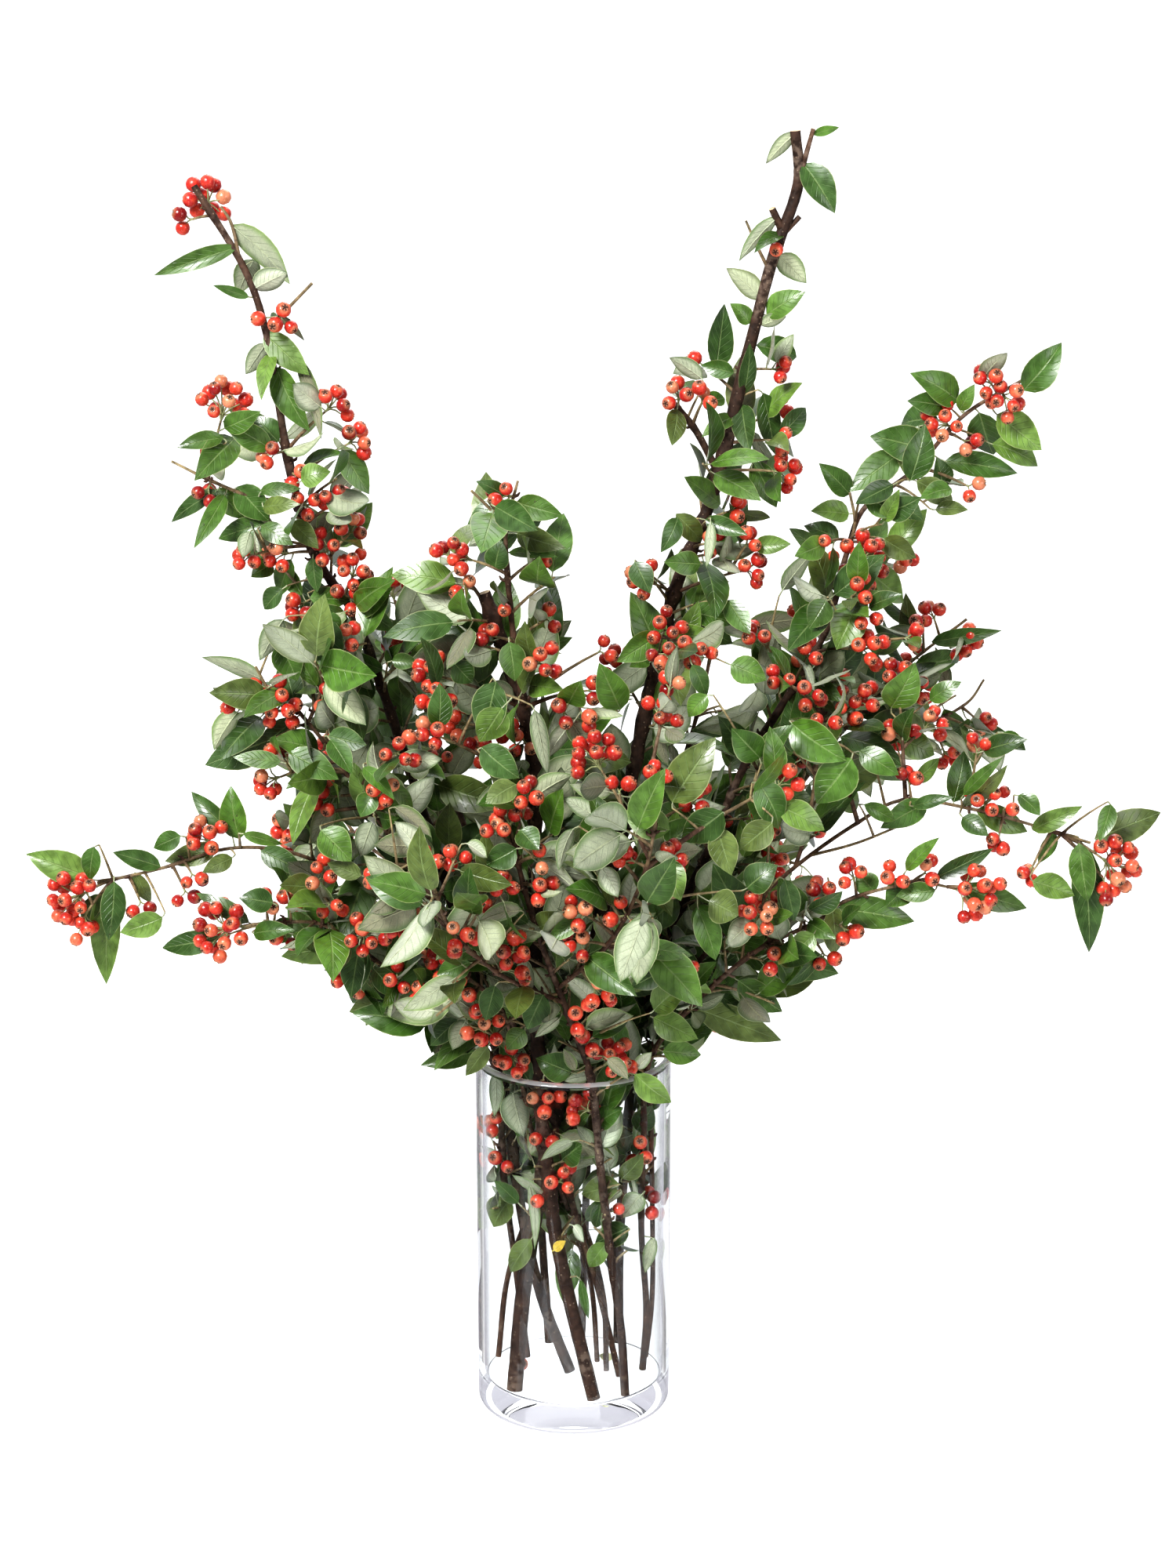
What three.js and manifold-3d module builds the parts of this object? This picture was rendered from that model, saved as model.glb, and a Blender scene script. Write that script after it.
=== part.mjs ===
import * as THREE from "three";
import { mergeVertices } from "three/addons/utils/BufferGeometryUtils.js";
import Module from "manifold-3d";

const wasm = await Module();
wasm.setup();

// Driving dimensions, in millimetres. The origin is the middle of the vase's underside, +Z up.
const VASE_RADIUS = 52.5;
const VASE_HEIGHT = 200;
const VASE_WALL = 3.5;
const VASE_FLOOR = 15;
const VASE_CORNER = 4;
const VASE_FILLET = 3;
const RIM_BEAD = 0.6;
const BERRY_RADIUS = 4;
const LEAF_THICKNESS = 1.5;
const LEAF_LENGTH = [27, 40];
const LEAF_PROPORTION = [0.46, 0.56];
const PETIOLE = 4;
const TWIG_RADIUS = 1.3;
const SHOOT_REACH = [16, 34];
const LONG_STALK = 9;
const CORE_REACH = 2;
const BERRY_SEAT = 0.92;
const BERRY_SHARE = 0.3;
const BENDS = [0, -9, 9, -18, 18, -28];
const CLEARANCE = 0.3;
const GLASS_ROOM = 5;
const RIM_ROOM = 8;
const FLOOR_ROOM = 12;
const SLIVER = 0.004;

const VASE_SIDES = 30;
const STEPS = 1;
const SHOOT_STEP = 3;
const GOLDEN_ANGLE = THREE.MathUtils.degToRad(137.508);
const INNER_RADIUS = VASE_RADIUS - VASE_WALL;

const vec = (x, y, z) => new THREE.Vector3(x, y, z);
const UP = vec(0, 0, 1);
const FRONT = vec(0, -1, 0);

// The ways below are read in the upright middle plane, y = 0, as they look from this eye,
// and each point is then moved along its line of sight to its own depth y.
const EYE = vec(7.9, -1500, 722);

function seen(x, z, y) {
  const k = 1 - y / EYE.y;
  return vec(EYE.x + (x - EYE.x) * k, y, EYE.z + (z - EYE.z) * k);
}

// Seeded draw between 0 and 1, the same for the same seed and count.
function draw(seed, count) {
  const s = Math.sin(seed * 12.9898 + count * 78.233) * 43758.5453;
  return s - Math.floor(s);
}

const between = (seed, count, low, high) => low + (high - low) * draw(seed, count);

// Each stem: foot is x, y on the vase's floor, thick its diameter at foot and tip, way its points
// x, z, depth. grow gives the side shoots: first and last place along the stem, and their pitch.
const STEMS = [
  {
    name: "left_tall",
    foot: [-2, -6],
    thick: [6.2, 3.4],
    way: [[-17, 56, -3], [-27, 100, 1], [-35, 160, 5], [-41, 200, 8], [-58, 262, 8],
      [-78, 330, 2], [-97, 392, -6], [-114, 440, -12], [-132, 468, -15], [-144, 512, -17],
      [-155, 584, -16], [-164, 613, -14], [-189, 656, -10]],
    grow: [105, 535, 21],
    limbs: [
      { way: [[-166, 622, -13], [-171, 638, -14], [-176, 646, -16]], thick: [2, 1.4] },
      { way: [[-155, 582, -16], [-145, 594, -18], [-131, 608, -20]], thick: [2, 1.5] },
      { way: [[-141, 494, -16], [-165, 500, -22], [-185, 508, -26], [-205, 518, -28]], thick: [2.4, 1.2] },
    ],
    leaves: [
      [-168, 626, -211, 612, 9], [-171, 637, -141, 608, -14], [-161, 605, -143, 614, -12],
      [-160, 620, -169, 602, -12], [-163, 601, -181, 607, 5], [-148, 592, -135, 580, -5],
      [-156, 583, -134, 562, 13], [-155, 578, -166, 562, -9], [-152, 573, -159, 551, 9],
      [-150, 566, -135, 533, 14], [-140, 572, -127, 529, -8], [-118, 524, -104, 501, 13],
      [-178, 530, -202, 525, 9], [-172, 530, -193, 509, 16], [-150, 528, -162, 541, 13],
      [-182, 503, -208, 487, 9], [-178, 501, -195, 473, 9], [-172, 505, -156, 487, 15],
      [-158, 486, -183, 478, 11],
    ],
    bunches: [[-183, 650, -16, 9], [-194, 639, -16, 3], [-149, 591, -22, 4], [-177, 547, -22, 12],
      [-121, 548, -22, 6], [-110, 530, -20, 5], [-185, 519, -24, 3], [-188, 501, -26, 3]],
  },
  {
    name: "right_tall",
    foot: [-32, -28],
    thick: [9, 5.6],
    way: [[-27, 66, -21], [-20, 110, -14], [-11, 160, -5], [-3, 200, 2], [9, 250, 10], [20, 300, 16],
      [32, 358, 20], [45, 420, 22], [54, 455, 22], [69, 493, 20], [90, 577, 16], [101, 621, 14],
      [113, 658, 12], [111, 683, 10]],
    grow: [110, 560, 22],
    limbs: [
      { way: [[113, 656, 12], [116, 669, 10], [120, 684, 8]], thick: [3.2, 2.2] },
      { way: [[105, 634, 13], [100, 645, 10]], thick: [4.4, 3.6] },
      { way: [[104, 630, 13], [114, 641, 14]], thick: [3, 2.6] },
      { way: [[99, 614, 14], [92, 628, 10], [87, 639, 8]], thick: [2, 1.2] },
      { way: [[73, 512, 19], [62, 535, 12], [51, 548, 8]], thick: [4, 3] },
    ],
    leaves: [
      [111, 682, 96, 667, -8], [120, 681, 133, 685, 5], [115, 667, 132, 643, 15], [103, 641, 83, 619, -8],
      [105, 632, 92, 625, 8], [103, 622, 118, 608, -12], [96, 600, 78, 616, -12], [98, 592, 117, 604, 13],
      [90, 588, 80, 598, 9], [95, 587, 108, 592, -8], [93, 577, 115, 571, 13], [87, 552, 90, 578, 9],
      [66, 560, 49, 571, -9], [82, 563, 65, 567, 9], [97, 553, 104, 521, 13], [86, 547, 90, 523, 13],
      [92, 518, 105, 494, 13], [83, 541, 66, 531, 9], [76, 496, 57, 510, 13],
    ],
    bunches: [[103, 626, 8, 1], [106, 565, 10, 3], [54, 553, 4, 4], [108, 529, 10, 2], [109, 513, 8, 6],
      [84, 494, 8, 3], [36, 457, 8, 5], [93, 463, 6, 5]],
  },
  {
    name: "right_mid",
    foot: [25, 35],
    thick: [6, 1.8],
    way: [[25, 92, 33], [29, 150, 28], [33, 200, 23], [50, 262, 26], [72, 313, 30], [90, 358, 32],
      [118, 405, 34], [132, 432, 35], [141, 470, 36], [149, 493, 36], [174, 513, 34], [200, 542, 30],
      [228, 559, 26]],
    grow: [110, 480, 22],
    limbs: [
      { way: [[141, 470, 36], [145, 486, 32], [142, 502, 30]], thick: [2, 1.4] },
    ],
    leaves: [
      [229, 554, 248, 578, 16], [208, 560, 220, 575, -11], [196, 549, 173, 563, 16],
      [190, 546, 171, 549, 12],
      [186, 540, 166, 537, 16], [181, 524, 152, 531, 18], [176, 536, 172, 508, 16],
      [167, 522, 142, 503, 16],
      [142, 501, 126, 517, 12], [207, 543, 215, 520, 17], [216, 542, 240, 524, 18],
      [190, 518, 228, 512, 13],
      [214, 527, 239, 516, 14], [189, 504, 186, 520, 13], [197, 544, 204, 557, 8], [142, 491, 123, 493, 12],
      [137, 478, 119, 485, 11], [160, 478, 177, 468, 12], [163, 500, 180, 488, 12],
    ],
    bunches: [[211, 560, 22, 4], [220, 549, 20, 7], [188, 538, 26, 7], [203, 527, 26, 3], [206, 504, 24, 2],
      [150, 467, 24, 12], [130, 468, 24, 3]],
  },
  {
    name: "centre",
    foot: [11, -40],
    thick: [7.6, 7],
    way: [[-6, 74, -33], [-12, 110, -29], [-17, 160, -26], [-19, 200, -25], [-20, 260, -25],
      [-20, 320, -26], [-21, 365, -28], [-31, 405, -30], [-46, 450, -32]],
    grow: [90, 430, 20],
    limbs: [
      { way: [[-23, 378, -30], [-30, 420, -38], [-34, 466, -40], [-34, 484, -40], [-28, 508, -40]],
        thick: [3.4, 1.4],
        grow: [18, 125, 22] },
      { way: [[-34, 483, -40], [-42, 493, -42], [-52, 503, -44]], thick: [1.8, 1.4] },
    ],
    leaves: [
      [-34, 500, -49, 508, 8], [-29, 497, -5, 490, 12], [-31, 483, -15, 491, 12], [-29, 481, -4, 473, 12],
      [-33, 471, -8, 469, 6], [-40, 462, -37, 477, 12], [-38, 482, -54, 474, -7], [-60, 455, -94, 460, 17],
    ],
    bunches: [[-36, 501, -44, 4], [-57, 469, -40, 4], [-16, 470, -44, 3], [-44, 428, -44, 3]],
  },
  {
    name: "left_mid",
    foot: [25, -10],
    thick: [3.6, 1.8],
    way: [[14, 60, -12], [0, 110, -17], [-12, 165, -16], [-27, 205, -17], [-60, 262, -30],
      [-90, 310, -32], [-115, 347, -34], [-126, 365, -34], [-152, 398, -34]],
    grow: [100, 425, 20],
    limbs: [
      { way: [[-138, 380, -34], [-130, 400, -40], [-122, 425, -44]], thick: [2, 1.4], grow: [8, 46, 16] },
      { way: [[-143, 387, -34], [-156, 395, -40], [-165, 411, -42]], thick: [1.8, 1.4] },
    ],
    leaves: [
      [-161, 404, -193, 416, -9], [-160, 396, -189, 397, 15], [-158, 372, -193, 358, 18],
      [-150, 398, -172, 384, 14],
    ],
    bunches: [[-160, 400, -38, 4], [-128, 393, -42, 4], [-182, 388, -40, 1], [-160, 350, -44, 6],
      [-131, 341, -42, 5],
      [-153, 326, -42, 4]],
  },
  {
    name: "left_arm",
    foot: [18, -3],
    thick: [3.4, 1.5],
    way: [[16, 60, 1], [2, 110, 9], [-24, 165, 19], [-37, 203, 22], [-66, 245, 20], [-99, 276, 12],
      [-120, 297, 8], [-150, 311, 2], [-181, 313, -4], [-218, 302, -8], [-252, 294, -12]],
    grow: [95, 350, 20],
    limbs: [],
    leaves: [
      [-254, 296, -289, 310, 16], [-246, 293, -250, 237, 16], [-218, 303, -243, 311, 10],
      [-250, 288, -262, 270, 9],
      [-176, 318, -180, 347, 14], [-180, 322, -201, 344, 10], [-188, 312, -216, 306, 12],
      [-165, 312, -142, 300, 12],
      [-232, 300, -224, 282, 8],
    ],
    bunches: [[-266, 285, -16, 13], [-194, 320, -10, 7], [-228, 280, -12, 2], [-204, 286, -12, 2]],
  },
  {
    name: "left_low",
    foot: [-26, 15],
    thick: [4, 1.5],
    way: [[-31, 70, 8], [-38, 130, 0], [-42, 190, -8], [-62, 220, -20], [-98, 245, -34], [-124, 266, -40],
      [-137, 272, -42], [-171, 271, -44]],
    grow: [95, 320, 19],
    limbs: [],
    leaves: [
      [-172, 272, -200, 289, 9], [-188, 264, -219, 258, 12], [-160, 272, -150, 262, 14],
      [-118, 262, -156, 253, 15],
      [-108, 252, -118, 226, 14], [-84, 236, -120, 222, 20],
    ],
    bunches: [[-189, 268, -46, 13], [-150, 284, -46, 3], [-128, 250, -46, 2]],
  },
  {
    name: "right_arm",
    foot: [-42, 15],
    thick: [3.4, 1.5],
    way: [[-36, 70, 19], [-23, 110, 21], [0, 160, 20], [24, 203, 16], [62, 245, 12], [90, 277, 8],
      [120, 305, 5], [150, 327, 0], [172, 339, -4], [212, 334, -8], [273, 316, -12]],
    grow: [100, 290, 21],
    limbs: [
      { way: [[118, 303, 5], [123, 322, 8], [127, 350, 12], [131, 398, 16]], thick: [2.4, 1.4],
        grow: [14, 95, 18] },
      { way: [[126, 308, 5], [150, 316, -6], [176, 327, -12]], thick: [1.8, 1.2] },
    ],
    leaves: [
      [275, 318, 310, 333, 16], [268, 317, 275, 255, 16], [242, 323, 268, 336, 10],
      [200, 338, 205, 366, 14],
      [205, 336, 228, 356, 10], [212, 334, 240, 322, 13], [186, 338, 162, 324, 13], [254, 322, 246, 304, 8],
    ],
    bunches: [[287, 303, -16, 13], [217, 341, -12, 8], [241, 299, -12, 3], [176, 352, -8, 3]],
  },
  {
    name: "right_low",
    foot: [38, -1],
    thick: [4, 1.5],
    way: [[40, 48, -4], [37, 98, -10], [38, 150, -16], [41, 195, -20], [66, 228, -32], [100, 258, -40],
      [130, 273, -44], [144, 284, -46], [193, 298, -50]],
    grow: [95, 345, 19],
    limbs: [],
    leaves: [
      [192, 297, 222, 313, 9], [205, 292, 241, 280, 13], [180, 295, 166, 281, 14], [140, 280, 182, 273, 16],
      [104, 256, 142, 243, 18], [88, 240, 112, 222, 15], [66, 224, 112, 206, 16], [160, 289, 150, 300, 12],
    ],
    bunches: [[211, 289, -52, 12], [148, 300, -50, 4], [132, 290, -50, 4], [104, 285, -50, 6]],
  },
  {
    name: "right_back",
    foot: [40, 15],
    thick: [3, 1.5],
    way: [[43, 56, 15], [43, 106, 12], [42, 160, 11], [42, 200, 10], [70, 265, 40], [105, 325, 62],
      [140, 375, 78], [172, 410, 88], [204, 436, 92]],
    grow: [110, 450, 20],
    limbs: [
      { way: [[150, 386, 82], [180, 380, 100], [206, 392, 112], [214, 404, 116]], thick: [2.2, 1.3],
        grow: [20, 70, 18] },
    ],
    leaves: [
      [186, 424, 222, 430, 9], [176, 420, 172, 450, 11], [206, 382, 236, 366, 9], [160, 398, 190, 376, 20],
      [150, 384, 186, 404, 18],
    ],
    bunches: [[186, 440, 88, 4], [204, 424, 88, 6], [214, 380, 108, 4], [196, 362, 100, 4]],
  },
  {
    name: "front",
    foot: [28, -33],
    thick: [5, 2.2],
    way: [[26, 39, -34], [21, 76, -36], [15, 130, -39], [9, 187, -43], [-2, 219, -52], [-14, 252, -64],
      [-25, 288, -76], [-33, 322, -84]],
    grow: [70, 335, 17],
    limbs: [
      { way: [[-8, 236, -58], [20, 262, -84], [38, 300, -106], [44, 330, -118]], thick: [2.4, 1.4],
        grow: [14, 120, 17] },
      { way: [[-5, 228, -55], [-40, 244, -88], [-66, 270, -112], [-76, 300, -124]], thick: [2.4, 1.4],
        grow: [18, 120, 17] },
    ],
    leaves: [],
    bunches: [[-34, 330, -88, 6]],
  },
  {
    name: "short",
    foot: [13, 9],
    thick: [3, 1.6],
    way: [[10, 62, 6], [3, 90, -4], [-7, 120, -16], [-21, 150, -19], [-31, 198, -31], [-40, 226, -48],
      [-62, 246, -66]],
    grow: [75, 275, 17],
    limbs: [],
    leaves: [],
    bunches: [[-70, 250, -70, 5]],
  },
  {
    name: "back_left",
    foot: [-14, 34],
    thick: [5, 1.8],
    way: [[-17, 90, 36], [-20, 150, 38], [-20, 200, 33], [-36, 262, 60], [-62, 340, 104], [-80, 400, 128],
      [-92, 446, 142]],
    grow: [110, 430, 19],
    limbs: [
      { way: [[-48, 298, 84], [-84, 300, 118], [-112, 318, 142], [-128, 340, 156]], thick: [2.6, 1.4],
        grow: [18, 120, 17] },
    ],
    leaves: [],
    bunches: [[-94, 452, 144, 6], [-132, 346, 160, 7]],
  },
  {
    name: "back_right",
    foot: [4, 38],
    thick: [5, 1.8],
    way: [[6, 90, 39], [8, 150, 39], [10, 200, 38], [24, 262, 66], [50, 335, 116], [66, 390, 142],
      [74, 430, 156]],
    grow: [110, 420, 19],
    limbs: [
      { way: [[32, 285, 82], [58, 276, 118], [82, 290, 144], [98, 310, 160]], thick: [2.6, 1.4],
        grow: [18, 120, 17] },
    ],
    leaves: [],
    bunches: [[76, 436, 158, 6], [102, 314, 162, 7]],
  },
];

// Polyline through a way's points with its running length.
class Route {
  constructor(points) {
    const curve = new THREE.CatmullRomCurve3(points, false, "centripetal");
    this.points = curve.getPoints((points.length - 1) * STEPS);
    this.lengths = [0];
    for (let i = 1; i < this.points.length; i += 1) {
      this.lengths.push(this.lengths[i - 1] + this.points[i].distanceTo(this.points[i - 1]));
    }
    this.length = this.lengths[this.lengths.length - 1];
  }

  at(along) {
    const s = Math.min(Math.max(along, 0), this.length);
    let i = 0;
    while (i < this.points.length - 2 && this.lengths[i + 1] < s) i += 1;
    const share = (s - this.lengths[i]) / (this.lengths[i + 1] - this.lengths[i]);
    const place = this.points[i].clone().lerp(this.points[i + 1], share);
    const heading = this.points[i + 1].clone().sub(this.points[i]).normalize();
    return { place, heading };
  }

  nearest(point) {
    let best = { distance: Infinity };
    const last = this.points.length - 1;
    for (let i = 1; i <= last; i += 1) {
      const end = this.points[i].clone().lerp(this.points[i - 1], i === last ? 0.15 : 0);
      const line = new THREE.Line3(this.points[i - 1], end);
      const place = line.closestPointToPoint(point, true, vec());
      const distance = place.distanceTo(point);
      if (distance < best.distance) best = { distance, place };
    }
    return best;
  }
}

// Two directions square to the heading and to each other, the first of them in the XZ plane.
function squareTo(heading) {
  const first = heading.clone().cross(vec(0, 1, 0)).normalize();
  const second = heading.clone().cross(first).normalize();
  return [first, second];
}

function geometryOf(corners, faces) {
  const geometry = new THREE.BufferGeometry();
  const values = corners.flatMap((corner) => corner.toArray());
  geometry.setAttribute("position", new THREE.Float32BufferAttribute(values, 3));
  geometry.setIndex(faces.flat());
  return geometry;
}

function solidOf(geometry) {
  const bare = geometry.clone();
  bare.deleteAttribute("normal");
  bare.deleteAttribute("uv");
  const merged = mergeVertices(bare);
  const mesh = new wasm.Mesh({
    numProp: 3,
    vertProperties: Float32Array.from(merged.attributes.position.array),
    triVerts: Uint32Array.from(merged.index.array),
  });
  return new wasm.Manifold(mesh);
}

// Closed tube with flat ends through the points, a ring of equal sides at each.
function tube(points, radii, sides) {
  const corners = [];
  const faces = [];
  points.forEach((point, i) => {
    const before = points[Math.max(i - 1, 0)];
    const after = points[Math.min(i + 1, points.length - 1)];
    const [first, second] = squareTo(after.clone().sub(before).normalize());
    for (let j = 0; j < sides; j += 1) {
      const angle = (2 * Math.PI * j) / sides;
      const spoke = first.clone().multiplyScalar(Math.cos(angle)).addScaledVector(second, Math.sin(angle));
      corners.push(point.clone().addScaledVector(spoke, radii[i]));
    }
  });
  const last = (points.length - 1) * sides;
  for (let j = 0; j < sides; j += 1) {
    const k = (j + 1) % sides;
    for (let ring = 0; ring < last; ring += sides) {
      faces.push([ring + j, ring + k, ring + sides + k], [ring + j, ring + sides + k, ring + sides + j]);
    }
    if (j > 0 && j < sides - 1) faces.push([0, k, j], [last, last + j, last + k]);
  }
  return geometryOf(corners, faces);
}

// Leaf blade: a six-sided outline with a keen margin, folded along a thick midrib and arched.
// The root lies inside the wood, base is where the blade proper begins.
function blade(root, base, tip, width, up) {
  const along = tip.clone().sub(base);
  const length = along.length();
  const left = up.clone().cross(along).normalize();
  const rise = along.clone().cross(left).normalize();
  const spot = (share, half, lift) => base.clone().addScaledVector(along, share)
    .addScaledVector(left, half * width).addScaledVector(rise, lift * length);
  const outline = [root, spot(0.34, -0.5, 0.1), spot(0.72, -0.36, 0.08), tip, spot(0.72, 0.36, 0.08),
    spot(0.34, 0.5, 0.1)];
  const top = spot(0.48, 0, 0.06);
  const under = top.clone().addScaledVector(rise, -LEAF_THICKNESS);
  const faces = outline.flatMap((_, i) => {
    const j = (i + 1) % outline.length;
    return [[6, i, j], [7, j, i]];
  });
  return geometryOf([...outline, top, under], faces);
}

function berry(centre, radius) {
  return new THREE.IcosahedronGeometry(radius, 0).translate(centre.x, centre.y, centre.z);
}

function core(centre, radius) {
  return new THREE.OctahedronGeometry(radius, 0).translate(centre.x, centre.y, centre.z);
}

// Keeps what grows inside the vase off the glass, and what grows above it off the rim.
function settle(root, tip) {
  const spread = Math.hypot(tip.x, tip.y);
  const inside = Math.hypot(root.x, root.y) < INNER_RADIUS && root.z < VASE_HEIGHT + 2;
  const settled = tip.clone();
  if (inside && tip.z < VASE_HEIGHT + 6 && spread > INNER_RADIUS - GLASS_ROOM) {
    const pull = (INNER_RADIUS - GLASS_ROOM) / spread;
    settled.set(tip.x * pull, tip.y * pull, tip.z);
  } else if (!inside && tip.z < VASE_HEIGHT + RIM_ROOM && spread < VASE_RADIUS + 12) {
    settled.z = VASE_HEIGHT + RIM_ROOM;
  }
  settled.z = Math.max(settled.z, VASE_FLOOR + FLOOR_ROOM);
  return settled;
}

// The side a leaf turns up: to the light, outwards, and to the nearer side of front and back.
function leafUp(root, heading, seed) {
  const out = vec(root.x, root.y, 0).normalize();
  const facing = root.y < 55 ? 1 : -1;
  const target = vec(...[31, 32, 33].map((count) => between(seed, count, -0.5, 0.5)))
    .addScaledVector(UP, 0.55).addScaledVector(out, 0.3).addScaledVector(FRONT, 0.65 * facing);
  return target.addScaledVector(heading, -target.dot(heading)).normalize();
}

// Berry centres of a bunch: spread evenly over a cap that faces the heading.
function bunchOf(centre, heading, count) {
  const spread = count < 2 ? 0 : Math.sqrt(8.8 * count + 2);
  const [first, second] = squareTo(heading);
  const berries = [];
  for (let i = 0; i < count; i += 1) {
    const c = count < 2 ? 1 : 1 - (1.25 * (i + 0.5)) / count;
    const s = Math.sqrt(Math.max(0, 1 - c * c));
    const angle = i * GOLDEN_ANGLE;
    berries.push(centre.clone().addScaledVector(heading, c * spread)
      .addScaledVector(first, Math.cos(angle) * s * spread)
      .addScaledVector(second, Math.sin(angle) * s * spread));
  }
  return { centre, spread, berries };
}

// Side shoots by rule: round the stem by the golden angle, each with leaves and most with a bunch.
function shootsOf(route, [from, to, pitch], seed) {
  const shoots = [];
  for (let along = from, n = 0; along <= to; along += pitch, n += 1) {
    const key = seed * 100 + n;
    const { place, heading } = route.at(along);
    const [first, second] = squareTo(heading);
    const turn = n * GOLDEN_ANGLE + seed;
    const lean = between(key, 1, 0.85, 1.2);
    const aim = heading.clone().multiplyScalar(Math.cos(lean))
      .addScaledVector(first, Math.sin(lean) * Math.cos(turn))
      .addScaledVector(second, Math.sin(lean) * Math.sin(turn));
    const crowded = place.z < VASE_HEIGHT + 10;
    const reach = (crowded ? 0.6 : 1) * between(key, 2, ...SHOOT_REACH);
    const end = settle(place, place.clone().addScaledVector(aim, reach));
    const leafCount = 3 + Math.floor(between(key, 3, 0, 2.99));
    const leaves = [];
    for (let j = 0; j < leafCount; j += 1) {
      const leafKey = key * 10 + j;
      const share = 0.35 + (0.65 * (j + 0.4)) / leafCount;
      const root = place.clone().lerp(end, share);
      const spin = j * GOLDEN_ANGLE + n;
      const open = between(leafKey, 4, 0.6, 1.15);
      const [across, over] = squareTo(aim);
      const out = aim.clone().multiplyScalar(Math.cos(open))
        .addScaledVector(across, Math.sin(open) * Math.cos(spin))
        .addScaledVector(over, Math.sin(open) * Math.sin(spin));
      const length = between(leafKey, 5, ...LEAF_LENGTH);
      const tip = settle(root, root.clone().addScaledVector(out, length + PETIOLE));
      const way = tip.clone().sub(root).normalize();
      const base = root.clone().addScaledVector(way, PETIOLE);
      const width = length * between(leafKey, 6, ...LEAF_PROPORTION);
      leaves.push({ root, base, tip, width, up: leafUp(root, way, leafKey) });
    }
    const count = draw(key, 7) < 0.3 ? 0 : 1 + Math.floor(between(key, 8, 0, 6.99));
    const middle = settle(place, end.clone().addScaledVector(aim, 6));
    const bunch = count > 0 ? bunchOf(middle, aim, count) : null;
    shoots.push({ place, end, leaves, bunch });
  }
  return shoots;
}

// Every accepted solid with its owner, so that nothing grows through another stem's.
const placed = [];

function boxesMeet(a, b, gap) {
  return [0, 1, 2].every((axis) => a.min[axis] - gap < b.max[axis] && b.min[axis] - gap < a.max[axis]);
}

function holds(box, point) {
  return point.toArray().every((value, axis) => value > box.min[axis] - 0.5 && value < box.max[axis] + 0.5);
}

function shortestEdge(solid) {
  const { vertProperties: p, triVerts: t } = solid.getMesh();
  let shortest = Infinity;
  for (let i = 0; i < t.length; i += 1) {
    const a = t[i] * 3;
    const b = t[i % 3 === 2 ? i - 2 : i + 1] * 3;
    shortest = Math.min(shortest, Math.hypot(p[a] - p[b], p[a + 1] - p[b + 1], p[a + 2] - p[b + 2]));
  }
  return shortest;
}

// Takes a solid in if it keeps clear of other stems, and of its own except the wood it is rooted in,
// which it joins without a sliver.
function admit(owner, kind, geometry, root) {
  const solid = solidOf(geometry);
  const box = solid.boundingBox();
  for (const other of placed) {
    if (!boxesMeet(box, other.box, CLEARANCE)) continue;
    if (other.owner !== owner) {
      if (solid.minGap(other.solid, CLEARANCE) < CLEARANCE) return false;
    } else if (other.kind === "wood" && holds(other.box, root)) {
      if (shortestEdge(solid.add(other.solid)) < SLIVER) return false;
    } else if (!solid.intersect(other.solid).isEmpty()) {
      return false;
    }
  }
  placed.push({ owner, kind, solid, box });
  return true;
}

// Twig or stalk: a slim three-sided spike that ends inside what it carries.
function spike(from, to) {
  const [first, second] = squareTo(to.clone().sub(from).normalize());
  const corners = [0, 1, 2].map((i) => from.clone()
    .addScaledVector(first, TWIG_RADIUS * Math.cos((2 * Math.PI * i) / 3))
    .addScaledVector(second, TWIG_RADIUS * Math.sin((2 * Math.PI * i) / 3)));
  return geometryOf([...corners, to], [[0, 2, 1], [0, 1, 3], [1, 2, 3], [2, 0, 3]]);
}

// A bunch on its stalk: small ones as one berry at the stalk's end, large ones round a core.
function placeBunch(owner, from, bunch) {
  const { centre, berries, spread } = bunch;
  if (!admit(owner, "wood", spike(from, centre), from)) return;
  if (berries.length < 4) {
    admit(owner, "berry", berry(centre, BERRY_RADIUS), centre);
    return;
  }
  if (!admit(owner, "wood", core(centre, spread + CORE_REACH), centre)) return;
  const step = 1 / BERRY_SHARE;
  for (let i = 0; i < berries.length; i += step) {
    const middle = centre.clone().lerp(berries[Math.floor(i)], BERRY_SEAT);
    admit(owner, "berry", berry(middle, BERRY_RADIUS), middle);
  }
}

function vase() {
  const profile = new THREE.Path();
  profile.moveTo(0, 0);
  profile.lineTo(VASE_RADIUS - VASE_CORNER, 0);
  profile.absarc(VASE_RADIUS - VASE_CORNER, VASE_CORNER, VASE_CORNER, -Math.PI / 2, 0, false);
  profile.lineTo(VASE_RADIUS, VASE_HEIGHT - VASE_WALL);
  profile.lineTo(VASE_RADIUS + RIM_BEAD, VASE_HEIGHT - VASE_WALL / 2);
  profile.lineTo(VASE_RADIUS, VASE_HEIGHT);
  profile.lineTo(INNER_RADIUS + 1, VASE_HEIGHT);
  profile.lineTo(INNER_RADIUS, VASE_HEIGHT - VASE_WALL / 2);
  profile.lineTo(INNER_RADIUS, VASE_FLOOR + VASE_FILLET);
  profile.lineTo(INNER_RADIUS - VASE_FILLET, VASE_FLOOR);
  profile.lineTo(0, VASE_FLOOR);
  return new THREE.LatheGeometry(profile.getPoints(2), VASE_SIDES).rotateX(Math.PI / 2);
}

admit("vase", "glass", vase(), EYE);

function nearestWood(routes, point) {
  return routes.map((route) => route.nearest(point)).sort((a, b) => a.distance - b.distance)[0];
}

// Radii along a route, from the diameter at its start to the one at its end.
function taper(route, [start, end]) {
  const last = route.points.length - 1;
  return route.points.map((_, i) => (start + ((end - start) * i) / last) / 2);
}

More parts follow.
